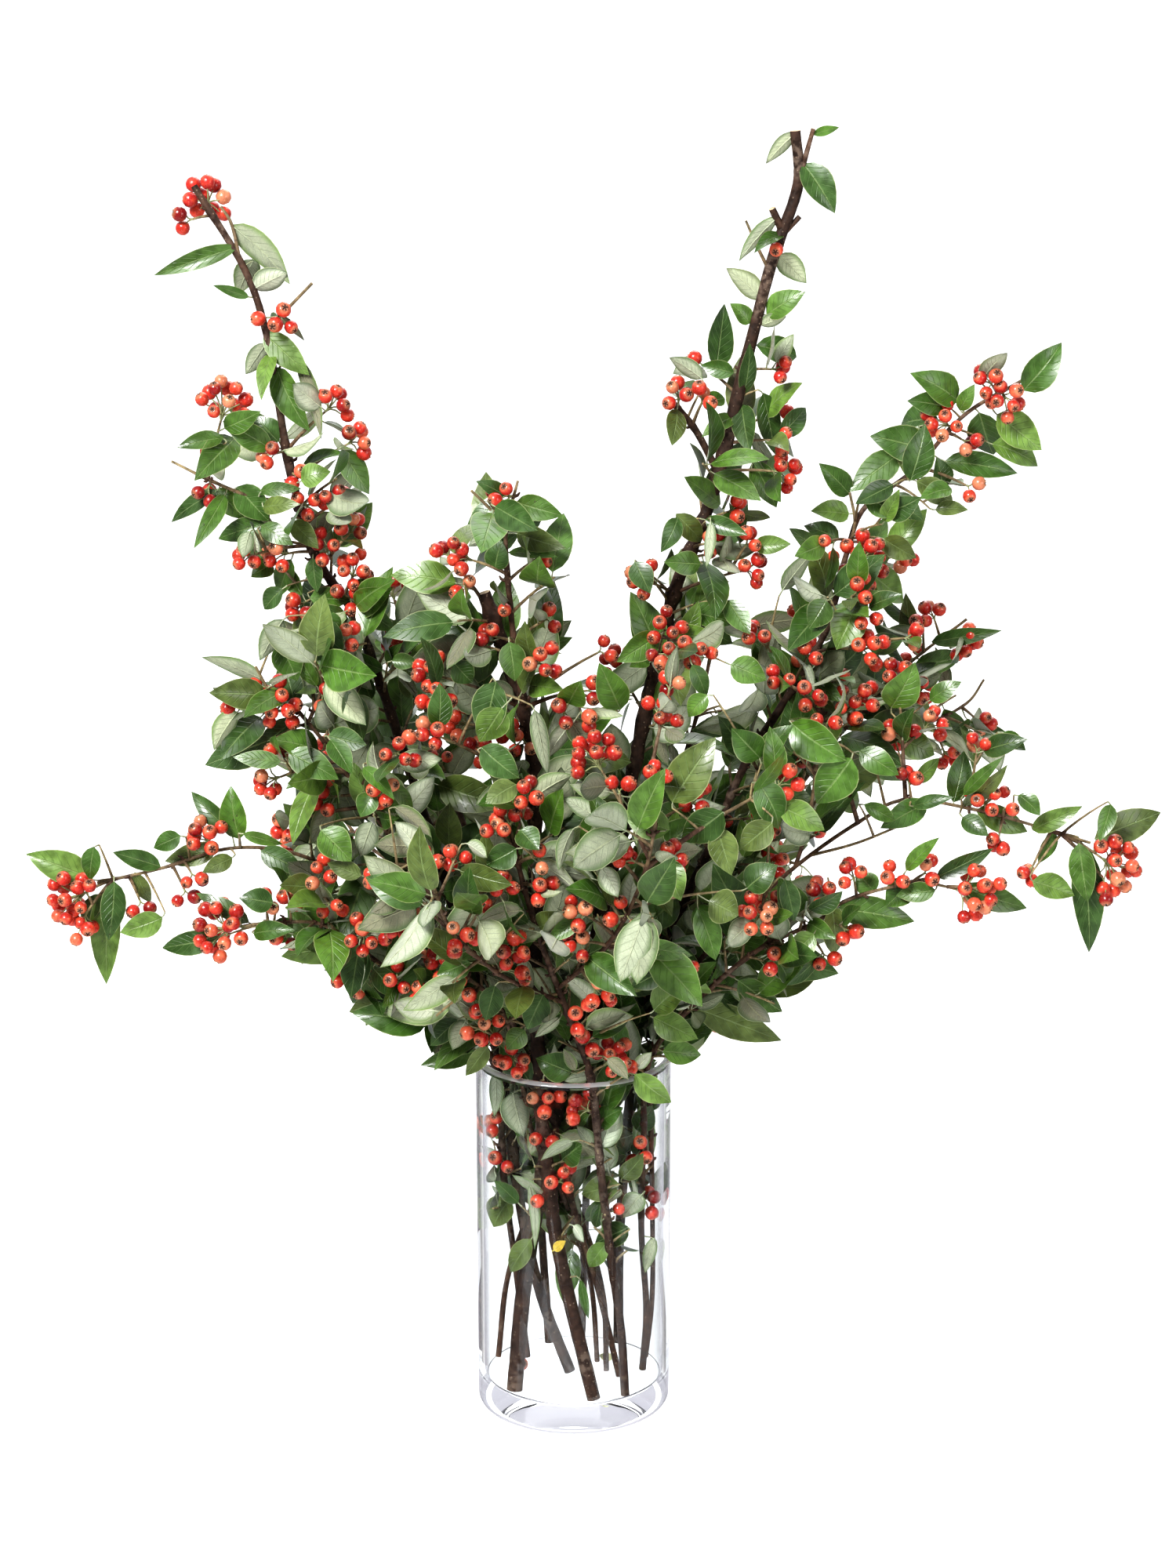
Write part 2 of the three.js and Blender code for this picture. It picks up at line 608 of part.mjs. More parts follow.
// Wood first, so that every stem has its way before the leaves take theirs.
const plants = STEMS.map((stem, index) => {
  const ways = stem.way.map((point) => seen(...point));
  const foot = vec(stem.foot[0], stem.foot[1], VASE_FLOOR + CLEARANCE);
  const slope = ways[0].clone().sub(foot).normalize();
  foot.z += (stem.thick[0] / 2) * Math.hypot(slope.x, slope.y) * 1.3;
  const main = new Route([foot, ...ways]);
  const routes = [main];
  admit(stem.name, "wood", tube(main.points, taper(main, stem.thick), stem.thick[0] > 5.5 ? 5 : 4), foot);
  stem.limbs.forEach((limb) => {
    const points = limb.way.map((point) => seen(...point));
    const joint = nearestWood(routes, points[0]);
    const route = new Route([joint.place, ...points.slice(1)]);
    admit(stem.name, "wood", tube(route.points, taper(route, limb.thick), 3), joint.place);
    routes.push(route);
  });
  return { stem, index, routes };
});

// The leaves and bunches that stand out against the light, each from the nearest wood.
for (const { stem, routes, index } of plants) {
  stem.bunches.forEach(([x, z, y, count]) => {
    const middle = seen(x, z, y);
    const root = nearestWood(routes, middle).place;
    const heading = middle.clone().sub(root).addScaledVector(FRONT, 0.1).normalize();
    placeBunch(stem.name, root, bunchOf(middle.addScaledVector(heading, -2), heading, count));
  });
  stem.leaves.forEach(([baseX, baseZ, tipX, tipZ, width], i) => {
    const key = index * 50 + i + 7000;
    const wood = nearestWood(routes, seen(baseX, baseZ, stem.way[stem.way.length - 1][2]));
    const base = seen(baseX, baseZ, wood.place.y);
    const root = nearestWood(routes, base).place;
    const turned = width < 0 ? 0.8 : -0.8;
    const up = vec(between(key, 2, -0.4, 0.4), turned, between(key, 3, 0.1, 0.5)).normalize();
    const far = root.distanceTo(base) > LONG_STALK;
    const start = far ? root.clone().lerp(base, 0.6) : root;
    if (far && !admit(stem.name, "wood", spike(root, base), root)) return;
    BENDS.some((bend) => {
      const tip = seen(tipX, tipZ, wood.place.y + between(key, 1, -9, 6) + bend);
      return admit(stem.name, "leaf", blade(start, base, tip, Math.abs(width), up), start);
    });
  });
}

const shootLists = plants.flatMap(({ stem, index, routes }) => {
  const growing = [[routes[0], stem.grow, index + 1]];
  stem.limbs.forEach((limb, i) => {
    if (limb.grow) growing.push([routes[i + 1], limb.grow, index + 20 + i * 20]);
  });
  return growing.map(([route, grow, seed]) => ({ owner: stem.name, shoots: shootsOf(route, grow, seed) }));
});

const longest = Math.max(...shootLists.map(({ shoots }) => shoots.length));
for (let n = 0; n < longest; n += 1) {
  for (const { owner, shoots } of shootLists) {
    const shoot = shoots[n];
    if (!shoot) continue;
    if (n % SHOOT_STEP !== 0) continue;
    const { bunch } = shoot;
    if (!admit(owner, "wood", spike(shoot.place, bunch ? bunch.centre : shoot.end), shoot.place)) continue;
    let room = 2 - (n % 2);
    for (const { root, base, tip, width, up } of shoot.leaves) {
      if (room > 0 && admit(owner, "leaf", blade(root, base, tip, width, up), root)) room -= 1;
    }
    if (bunch) admit(owner, "berry", berry(bunch.centre, BERRY_RADIUS), bunch.centre);
  }
}

function meshOf(name, solid, material) {
  const { vertProperties, triVerts } = solid.getMesh();
  const geometry = new THREE.BufferGeometry();
  geometry.setAttribute("position", new THREE.BufferAttribute(Float32Array.from(vertProperties), 3));
  geometry.setIndex(new THREE.BufferAttribute(Uint32Array.from(triVerts), 1));
  geometry.computeVertexNormals();
  const mesh = new THREE.Mesh(geometry, material);
  mesh.name = name;
  return mesh;
}

const glass = new THREE.MeshStandardMaterial({ color: 0xe8f0f2, roughness: 0.05, metalness: 0 });
const foliage = new THREE.MeshStandardMaterial({ color: 0x3c6b34, roughness: 0.55, metalness: 0 });

const bouquet = new THREE.Group();
bouquet.add(meshOf("vase", placed[0].solid, glass));
for (const { stem } of plants) {
  const parts = placed.filter((item) => item.owner === stem.name).map((item) => item.solid);
  const pieces = wasm.Manifold.union(parts).decompose().sort((a, b) => b.volume() - a.volume());
  bouquet.add(meshOf(`branch_${stem.name}`, pieces[0], foliage));
}

export default bouquet;
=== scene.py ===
import math

import bpy
import mathutils
import numpy as np
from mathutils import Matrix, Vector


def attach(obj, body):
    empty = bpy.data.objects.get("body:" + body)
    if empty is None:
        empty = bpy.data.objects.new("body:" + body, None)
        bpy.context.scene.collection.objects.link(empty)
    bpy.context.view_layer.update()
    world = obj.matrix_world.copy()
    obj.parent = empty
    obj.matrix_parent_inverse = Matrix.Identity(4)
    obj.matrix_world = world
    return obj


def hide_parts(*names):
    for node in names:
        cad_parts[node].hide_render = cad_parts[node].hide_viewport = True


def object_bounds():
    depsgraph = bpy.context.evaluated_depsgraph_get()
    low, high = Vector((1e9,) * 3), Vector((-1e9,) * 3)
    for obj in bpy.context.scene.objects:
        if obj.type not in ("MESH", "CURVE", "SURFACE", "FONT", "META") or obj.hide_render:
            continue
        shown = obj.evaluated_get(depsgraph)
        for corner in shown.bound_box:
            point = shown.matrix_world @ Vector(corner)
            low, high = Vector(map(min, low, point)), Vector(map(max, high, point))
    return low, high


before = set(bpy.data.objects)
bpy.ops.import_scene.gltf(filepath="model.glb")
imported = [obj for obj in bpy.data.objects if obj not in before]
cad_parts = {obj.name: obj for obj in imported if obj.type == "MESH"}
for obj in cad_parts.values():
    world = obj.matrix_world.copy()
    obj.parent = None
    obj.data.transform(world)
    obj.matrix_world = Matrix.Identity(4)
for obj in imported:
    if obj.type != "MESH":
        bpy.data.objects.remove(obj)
cad_low, cad_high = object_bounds()

# Sizes are in millimetres, as in the part, and become metres when a mesh is made.
MM = 0.001
VASE_RADIUS = 52.5
VASE_HEIGHT = 200.0
VASE_WALL = 3.5
VASE_FLOOR = 15.0
INNER_RADIUS = VASE_RADIUS - VASE_WALL
BERRY_RADIUS = 4.0
LEAF_THICKNESS = 0.32
PETIOLE_RADIUS = 0.5
PEDICEL_RADIUS = 0.42
TWIG_RADIUS = 0.95
PETIOLE = 4.0
LEAF_LENGTH = (27, 40)
LEAF_PROPORTION = (0.46, 0.56)
SHOOT_REACH = (16, 34)
# Room kept: leaf to glass, to the vase's floor, over the rim and outside it. A root counts as inside
# up to INSIDE_ROOT over the rim, and its tip up to INSIDE_TIP.
GLASS_ROOM = 5.0
FLOOR_ROOM = 12.0
RIM_ROOM = 8.0
RIM_ASIDE = 12.0
INSIDE_ROOT = 2.0
INSIDE_TIP = 6.0
GOLDEN_ANGLE = math.radians(137.508)
UP = np.array((0.0, 0.0, 1.0))
FRONT = np.array((0.0, -1.0, 0.0))

# The ways below are read in the upright middle plane, y = 0, as they look from this eye,
# and each point is then moved along its line of sight to its own depth y.
EYE = np.array((7.9, -1500.0, 722.0))

# Each stem as the part has it: foot is x, y on the vase's floor, thick its diameter at foot and tip,
# way its points x, z, depth. grow gives the side shoots: first and last place along it, and pitch.
# limbs are side limbs, which fork from the nearest wood.
# leaves are base x, z, tip x, z and width, below 0 where the underside shows; bunches are
# x, z, depth and the count of berries.
STEMS = [
  {"name": "left_tall", "foot": [-2, -6], "thick": [6.2, 3.4], "grow": [105, 535, 21],
    "way": [[-17, 56, -3], [-27, 100, 1], [-35, 160, 5], [-41, 200, 8], [-58, 262, 8], [-78, 330, 2],
    [-97, 392, -6], [-114, 440, -12], [-132, 468, -15], [-144, 512, -17], [-155, 584, -16],
    [-164, 613, -14], [-189, 656, -10]],
    "limbs": [
      {"thick": [2, 1.4], "way": [[-166, 622, -13], [-171, 638, -14], [-176, 646, -16]]},
      {"thick": [2, 1.5], "way": [[-155, 582, -16], [-145, 594, -18], [-131, 608, -20]]},
      {"thick": [2.4, 1.2], "way": [[-141, 494, -16], [-165, 500, -22], [-185, 508, -26],
      [-205, 518, -28]]},
    ],
    "leaves": [[-168, 626, -211, 612, 9], [-171, 637, -141, 608, -14], [-161, 605, -143, 614, -12],
    [-160, 620, -169, 602, -12], [-163, 601, -181, 607, 5], [-148, 592, -135, 580, -5],
    [-156, 583, -134, 562, 13], [-155, 578, -166, 562, -9], [-152, 573, -159, 551, 9],
    [-150, 566, -135, 533, 14], [-140, 572, -127, 529, -8], [-118, 524, -104, 501, 13],
    [-178, 530, -202, 525, 9], [-172, 530, -193, 509, 16], [-150, 528, -162, 541, 13],
    [-182, 503, -208, 487, 9], [-178, 501, -195, 473, 9], [-172, 505, -156, 487, 15],
    [-158, 486, -183, 478, 11]],
    "bunches": [[-182, 650, 1, 9], [-194, 639, -3, 3], [-149, 591, -22, 4], [-177, 547, -22, 12],
    [-121, 548, -22, 6], [-110, 530, -20, 5], [-185, 519, -24, 3], [-188, 501, -26, 3]]},
  {"name": "right_tall", "foot": [-32, -28], "thick": [9, 5.6], "grow": [110, 560, 22],
    "way": [[-27, 66, -21], [-20, 110, -14], [-11, 160, -5], [-3, 200, 2], [9, 250, 10], [20, 300, 16],
    [32, 358, 20], [45, 420, 22], [54, 455, 22], [69, 493, 20], [90, 577, 16], [101, 621, 14],
    [113, 658, 12], [111, 683, 10]],
    "limbs": [
      {"thick": [3.2, 2.2], "way": [[113, 656, 12], [116, 669, 10], [120, 684, 8]]},
      {"thick": [4.4, 3.6], "way": [[105, 634, 13], [100, 645, 10]]},
      {"thick": [3, 2.6], "way": [[104, 630, 13], [114, 641, 14]]},
      {"thick": [2, 1.2], "way": [[99, 614, 14], [92, 628, 10], [87, 639, 8]]},
      {"thick": [4, 3], "way": [[73, 512, 19], [62, 535, 12], [51, 548, 8]]},
    ],
    "leaves": [[111, 682, 96, 667, -8], [120, 681, 133, 685, 5], [115, 667, 132, 643, 15],
    [103, 641, 83, 619, -8], [105, 632, 92, 625, 8], [103, 622, 118, 608, -12], [96, 600, 78, 616, -12],
    [98, 592, 117, 604, 13], [90, 588, 80, 598, 9], [95, 587, 108, 592, -8], [93, 577, 115, 571, 13],
    [87, 552, 90, 578, 9], [66, 560, 49, 571, -9], [82, 563, 65, 567, 9], [97, 553, 104, 521, 13],
    [86, 547, 90, 523, 13], [92, 518, 105, 494, 13], [83, 541, 66, 531, 9], [76, 496, 57, 510, 13]],
    "bunches": [[103, 626, 8, 1], [106, 565, 10, 3], [54, 553, 4, 4], [108, 529, 10, 2], [109, 513, 8, 6],
    [84, 494, 8, 3], [36, 457, 8, 5], [93, 463, 6, 5]]},
  {"name": "right_mid", "foot": [25, 35], "thick": [6, 1.8], "grow": [110, 480, 22],
    "way": [[25, 92, 33], [29, 150, 28], [33, 200, 23], [50, 262, 26], [72, 313, 30], [90, 358, 32],
    [118, 405, 34], [132, 432, 35], [141, 470, 36], [149, 493, 36], [174, 513, 34], [200, 542, 30],
    [228, 559, 26]],
    "limbs": [
      {"thick": [2, 1.4], "way": [[141, 470, 36], [145, 486, 32], [142, 502, 30]]},
    ],
    "leaves": [[229, 554, 248, 578, 16], [208, 560, 220, 575, -11], [196, 549, 173, 563, 16],
    [190, 546, 171, 549, 12], [186, 540, 166, 537, 16], [181, 524, 152, 531, 18], [176, 536, 172, 508, 16],
    [167, 522, 142, 503, 16], [142, 501, 126, 517, 12], [207, 543, 215, 520, 17], [216, 542, 240, 524, 18],
    [190, 518, 228, 512, 13], [214, 527, 239, 516, 14], [189, 504, 186, 520, 13], [197, 544, 204, 557, 8],
    [142, 491, 123, 493, 12], [137, 478, 119, 485, 11], [160, 478, 177, 468, 12], [163, 500, 180, 488, 12]],
    "bunches": [[211, 560, 22, 4], [220, 549, 20, 7], [188, 538, 26, 7], [203, 527, 26, 3],
    [206, 504, 24, 2], [150, 467, 24, 12], [130, 468, 24, 3]]},
  {"name": "centre", "foot": [11, -40], "thick": [7.6, 7], "grow": [90, 430, 20],
    "way": [[-6, 74, -33], [-12, 110, -29], [-17, 160, -26], [-19, 200, -25], [-20, 260, -25],
    [-20, 320, -26], [-21, 365, -28], [-31, 405, -30], [-46, 450, -32]],
    "limbs": [
      {"thick": [3.4, 1.4], "grow": [18, 125, 22], "way": [[-23, 378, -30], [-30, 420, -38],
      [-34, 466, -40], [-34, 484, -40], [-28, 508, -40]]},
      {"thick": [1.8, 1.4], "way": [[-34, 483, -40], [-42, 493, -42], [-52, 503, -44]]},
    ],
    "leaves": [[-34, 500, -49, 508, 8], [-29, 497, -5, 490, 12], [-31, 483, -15, 491, 12],
    [-29, 481, -4, 473, 12], [-33, 471, -8, 469, 6], [-40, 462, -37, 477, 12], [-38, 482, -54, 474, -7],
    [-60, 455, -94, 460, 17]],
    "bunches": [[-36, 501, -44, 4], [-57, 469, -40, 4], [-16, 470, -44, 3], [-44, 428, -44, 3]]},
  {"name": "left_mid", "foot": [25, -10], "thick": [3.6, 1.8], "grow": [100, 425, 20],
    "way": [[14, 60, -12], [0, 110, -17], [-12, 165, -16], [-27, 205, -17], [-60, 262, -30],
    [-90, 310, -32], [-115, 347, -34], [-126, 365, -34], [-152, 398, -34]],
    "limbs": [
      {"thick": [2, 1.4], "grow": [8, 46, 16], "way": [[-138, 380, -34], [-130, 400, -40],
      [-122, 425, -44]]},
      {"thick": [1.8, 1.4], "way": [[-143, 387, -34], [-156, 395, -40], [-165, 411, -42]]},
    ],
    "leaves": [[-161, 404, -193, 416, -9], [-160, 396, -189, 397, 15], [-158, 372, -193, 358, 18],
    [-150, 398, -172, 384, 14]],
    "bunches": [[-160, 400, -38, 4], [-128, 393, -42, 4], [-182, 388, -40, 1], [-160, 350, -44, 6],
    [-131, 341, -42, 5], [-153, 326, -42, 4]]},
  {"name": "left_arm", "foot": [18, -3], "thick": [3.4, 1.5], "grow": [95, 350, 20],
    "way": [[16, 60, 1], [2, 110, 9], [-24, 165, 19], [-37, 203, 22], [-66, 245, 20], [-99, 276, 12],
    [-120, 297, 8], [-150, 311, 2], [-181, 313, -4], [-218, 302, -8], [-252, 294, -12]],
    "limbs": [],
    "leaves": [[-254, 296, -289, 310, 16], [-246, 293, -250, 237, 16], [-218, 303, -243, 311, 10],
    [-250, 288, -262, 270, 9], [-176, 318, -180, 347, 14], [-180, 322, -201, 344, 10],
    [-188, 312, -216, 306, 12], [-165, 312, -142, 300, 12], [-232, 300, -224, 282, 8]],
    "bunches": [[-266, 285, -16, 13], [-194, 320, -10, 7], [-228, 280, -12, 2], [-204, 286, -12, 2]]},
  {"name": "left_low", "foot": [-26, 15], "thick": [4, 1.5], "grow": [95, 320, 19],
    "way": [[-31, 70, 8], [-38, 130, 0], [-42, 190, -8], [-62, 220, -20], [-98, 245, -34], [-124, 266, -40],
    [-137, 272, -42], [-171, 271, -44]],
    "limbs": [],
    "leaves": [[-172, 272, -200, 289, 9], [-188, 264, -219, 258, 12], [-160, 272, -150, 262, 14],
    [-118, 262, -156, 253, 15], [-108, 252, -118, 226, 14], [-84, 236, -120, 222, 20]],
    "bunches": [[-189, 268, -46, 13], [-150, 284, -46, 3], [-128, 250, -46, 2]]},
  {"name": "right_arm", "foot": [-42, 15], "thick": [3.4, 1.5], "grow": [100, 290, 21],
    "way": [[-36, 70, 19], [-23, 110, 21], [0, 160, 20], [24, 203, 16], [62, 245, 12], [90, 277, 8],
    [120, 305, 5], [150, 327, 0], [172, 339, -4], [212, 334, -8], [273, 316, -12]],
    "limbs": [
      {"thick": [2.4, 1.4], "grow": [14, 95, 18], "way": [[118, 303, 5], [123, 322, 8], [127, 350, 12],
      [131, 398, 16]]},
      {"thick": [1.8, 1.2], "way": [[126, 308, 5], [150, 316, -6], [176, 327, -12]]},
    ],
    "leaves": [[275, 318, 310, 333, 16], [268, 317, 275, 255, 16], [242, 323, 268, 336, 10],
    [200, 338, 205, 366, 14], [205, 336, 228, 356, 10], [212, 334, 240, 322, 13], [186, 338, 162, 324, 13],
    [254, 322, 246, 304, 8]],
    "bunches": [[287, 303, -16, 13], [217, 341, -12, 8], [241, 299, -12, 3], [176, 352, -8, 3]]},
  {"name": "right_low", "foot": [38, -1], "thick": [4, 1.5], "grow": [95, 345, 19],
    "way": [[40, 48, -4], [37, 98, -10], [38, 150, -16], [41, 195, -20], [66, 228, -32], [100, 258, -40],
    [130, 273, -44], [144, 284, -46], [193, 298, -50]],
    "limbs": [],
    "leaves": [[192, 297, 222, 313, 9], [205, 292, 241, 280, 13], [180, 295, 166, 281, 14],
    [140, 280, 182, 273, 16], [104, 256, 142, 243, 18], [88, 240, 112, 222, 15], [66, 224, 112, 206, 16],
    [160, 289, 150, 300, 12]],
    "bunches": [[211, 289, -52, 12], [148, 300, -50, 4], [132, 290, -50, 4], [104, 285, -50, 6]]},
  {"name": "right_back", "foot": [40, 15], "thick": [3, 1.5], "grow": [110, 450, 20],
    "way": [[43, 56, 15], [43, 106, 12], [42, 160, 11], [42, 200, 10], [70, 265, 40], [105, 325, 62],
    [140, 375, 78], [172, 410, 88], [204, 436, 92]],
    "limbs": [
      {"thick": [2.2, 1.3], "grow": [20, 70, 18], "way": [[150, 386, 82], [180, 380, 100], [206, 392, 112],
      [214, 404, 116]]},
    ],
    "leaves": [[186, 424, 222, 430, 9], [176, 420, 172, 450, 11], [206, 382, 236, 366, 9],
    [160, 398, 190, 376, 20], [150, 384, 186, 404, 18]],
    "bunches": [[186, 440, 88, 4], [204, 424, 88, 6], [214, 380, 108, 4], [196, 362, 100, 4]]},
  {"name": "front", "foot": [28, -33], "thick": [5, 2.2], "grow": [70, 335, 17],
    "way": [[26, 39, -34], [21, 76, -36], [15, 130, -39], [9, 187, -43], [-2, 219, -52], [-14, 252, -64],
    [-25, 288, -76], [-33, 322, -84]],
    "limbs": [
      {"thick": [2.4, 1.4], "grow": [14, 120, 17], "way": [[-8, 236, -58], [20, 262, -84], [38, 300, -106],
      [44, 330, -118]]},
      {"thick": [2.4, 1.4], "grow": [18, 120, 17], "way": [[-5, 228, -55], [-40, 244, -88],
      [-66, 270, -112], [-76, 300, -124]]},
    ],
    "leaves": [],
    "bunches": [[-34, 330, -88, 6]]},
  {"name": "short", "foot": [13, 9], "thick": [3, 1.6], "grow": [75, 275, 17],
    "way": [[10, 62, 6], [3, 90, -4], [-7, 120, -16], [-21, 150, -19], [-31, 198, -31], [-40, 226, -48],
    [-62, 246, -66]],
    "limbs": [],
    "leaves": [],
    "bunches": [[-70, 250, -70, 5]]},
  {"name": "back_left", "foot": [-14, 34], "thick": [5, 1.8], "grow": [110, 430, 19],
    "way": [[-17, 90, 36], [-20, 150, 38], [-20, 200, 33], [-36, 262, 60], [-62, 340, 104], [-80, 400, 128],
    [-92, 446, 142]],
    "limbs": [
      {"thick": [2.6, 1.4], "grow": [18, 120, 17], "way": [[-48, 298, 84], [-84, 300, 118],
      [-112, 318, 142], [-128, 340, 156]]},
    ],
    "leaves": [],
    "bunches": [[-94, 452, 144, 6], [-132, 346, 160, 7]]},
  {"name": "back_right", "foot": [4, 38], "thick": [5, 1.8], "grow": [110, 420, 19],
    "way": [[6, 90, 39], [8, 150, 39], [10, 200, 38], [24, 262, 66], [50, 335, 116], [66, 390, 142],
    [74, 430, 156]],
    "limbs": [
      {"thick": [2.6, 1.4], "grow": [18, 120, 17], "way": [[32, 285, 82], [58, 276, 118], [82, 290, 144],
      [98, 310, 160]]},
    ],
    "leaves": [],
    "bunches": [[76, 436, 158, 6], [102, 314, 162, 7]]},
]

# Growth that the part leaves out, read from the photograph in the same way: leaves as base x, z,
# tip x, z and width, and bunches as x, z and count. front_depth gives their depth. A bunch with a
# count below 0 stands deeper in the mass.
MORE_LEAVES = [
  [-62, 413, -52, 402, 12], [-40, 403, -47, 371, 18], [-33, 424, -30, 403, 13], [-94, 414, -80, 413, 8],
  [-88, 420, -83, 429, 11], [-58, 432, -90, 427, 13], [-48, 368, -28, 351, 15], [-30, 348, -46, 338, 12],
  [-20, 388, -13, 352, -8], [25, 388, 14, 412, 15], [52, 338, 74, 373, 20], [79, 333, 57, 316, 17],
  [98, 362, 83, 378, 15], [99, 362, 115, 380, 12], [114, 381, 143, 360, 19], [146, 362, 128, 337, 20],
  [97, 349, 110, 323, 17], [108, 336, 133, 323, 14], [105, 327, 88, 312, 14], [76, 324, 84, 298, 14],
  [36, 307, 44, 285, 13], [50, 307, 57, 284, 13], [92, 291, 108, 304, 15], [72, 284, 88, 276, 17],
  [66, 280, 76, 251, 13], [47, 245, 31, 236, 11], [128, 266, 116, 253, 12], [137, 281, 140, 253, 14],
  [-42, 237, -47, 217, 12], [-55, 250, -73, 243, 12], [-66, 265, -83, 261, 10], [-16, 232, -25, 212, 14],
  [-26, 212, -36, 201, 11], [-30, 313, -46, 304, 13], [-28, 323, -18, 312, 12], [12, 297, 28, 280, 9],
  [-38, 290, -44, 277, -11], [-27, 279, -52, 273, -11], [0, 324, -8, 301, -8], [13, 330, -5, 341, -9],
  [15, 303, 24, 286, -10], [13, 276, 22, 253, -10], [-21, 247, -10, 229, -9], [12, 226, -4, 244, -11],
  [-7, 219, -21, 208, -7], [-60, 236, -70, 226, -11], [-72, 241, -79, 222, -9], [-58, 217, -65, 201, -11],
  [-94, 336, -74, 320, -9], [-80, 310, -94, 328, -12], [-82, 314, -105, 315, -13], [-56, 316, -45, 308, -8],
  [34, 190, 42, 200, -8], [-136, 447, -115, 446, 11], [-128, 440, -124, 425, 12],
  [-127, 436, -126, 402, 16], [-150, 436, -163, 414, -11], [-152, 424, -143, 403, 15],
  [-150, 452, -160, 441, 10], [-118, 398, -109, 371, 13], [-133, 366, -157, 372, 15],
  [-149, 365, -123, 351, 15], [-153, 360, -178, 363, 9], [-128, 374, -108, 369, 12],
  [-127, 372, -116, 354, 11], [-110, 357, -94, 340, 8], [-105, 343, -112, 330, 11],
  [-133, 323, -117, 306, 16], [-80, 286, -94, 288, 16], [-112, 298, -130, 305, 9], [-62, 218, -77, 203, 11],
  [-52, 200, -82, 192, 11], [131, 446, 123, 431, 14], [146, 442, 137, 420, 18], [150, 449, 166, 444, 8],
  [166, 389, 178, 412, 18], [156, 372, 176, 388, 17], [171, 372, 190, 364, 15], [186, 393, 202, 403, 10],
  [150, 366, 171, 353, 13], [112, 296, 118, 272, 10], [192, 290, 171, 287, 10], [176, 301, 193, 319, 8],
  [-160, 503, -139, 504, 7], [-159, 494, -140, 496, 9], [-139, 508, -124, 513, 12],
  [-160, 485, -144, 475, 10], [-144, 487, -131, 473, 10], [-124, 492, -131, 478, -9],
  [-155, 465, -166, 458, 10], [-134, 468, -132, 450, 9], [-166, 482, -170, 468, -8], [54, 489, 46, 471, 10],
  [53, 491, 67, 476, 11], [68, 488, 90, 480, 9], [66, 465, 47, 466, 12], [32, 466, 40, 450, 12],
  [71, 487, 69, 463, -6], [108, 451, 124, 472, -11], [80, 446, 92, 428, 12], [60, 440, 84, 434, 13],
  [62, 412, 70, 394, 9], [82, 412, 101, 404, 14], [70, 396, 60, 384, 10], [-33, 177, -27, 151, -15],
  [-42, 188, -42, 163, -8], [-44, 150, -50, 164, -11], [-41, 134, -49, 147, -8], [11, 158, 27, 168, 12],
  [14, 148, 27, 157, 12], [10, 146, 2, 158, -8], [0, 149, -18, 138, -7], [20, 139, -3, 131, -8],
  [25, 124, 4, 118, 13], [26, 127, 38, 141, 11], [26, 120, 16, 111, -8], [37, 118, 27, 105, -12],
  [15, 115, 12, 98, 9], [30, 99, 11, 89, 13], [18, 90, 8, 75, 10], [-24, 124, -21, 86, -6],
  [-16, 118, -33, 130, -8], [-30, 113, -43, 126, 8], [-23, 92, -35, 72, 11], [-1, 188, -20, 196, 15],
  [1, 189, -5, 202, -7], [9, 186, -5, 183, -7], [34, 155, 43, 169, 13], [44, 116, 50, 137, -9],
  [44, 93, 39, 72, -7], [4, 68, 8, 44, 5], [0, 100, 6, 90, -8], [150, 500, 168, 490, 12],
  [176, 508, 196, 496, 12], [-253, 314, -256, 295, 10], [-243, 295, -247, 262, 13],
  [-218, 275, -241, 266, 13], [-207, 320, -222, 313, 10], [-180, 308, -196, 300, 9],
  [-174, 321, -153, 315, 6], [-159, 283, -177, 286, 12], [-170, 266, -148, 268, 10],
  [-114, 260, -119, 230, 15], [-78, 216, -118, 222, 18], [-107, 247, -93, 230, 11],
  [164, 506, 145, 496, 11], [160, 487, 167, 503, 8], [161, 491, 178, 499, 13], [173, 508, 180, 537, 16],
  [186, 493, 203, 493, 8], [194, 504, 178, 499, 10], [267, 316, 273, 283, 13], [243, 295, 266, 287, 13],
  [179, 336, 200, 341, 7], [283, 337, 278, 317, 9], [234, 342, 246, 331, 10], [153, 337, 170, 328, 8],
  [205, 330, 219, 320, 10], [225, 376, 237, 366, 8], [205, 342, 224, 362, 7], [-37, 389, -49, 370, 16],
  [51, 323, 26, 333, 15], [35, 259, 64, 254, 10], [43, 223, 64, 243, 15], [43, 219, 67, 207, 14],
  [48, 200, 69, 198, 12],
]
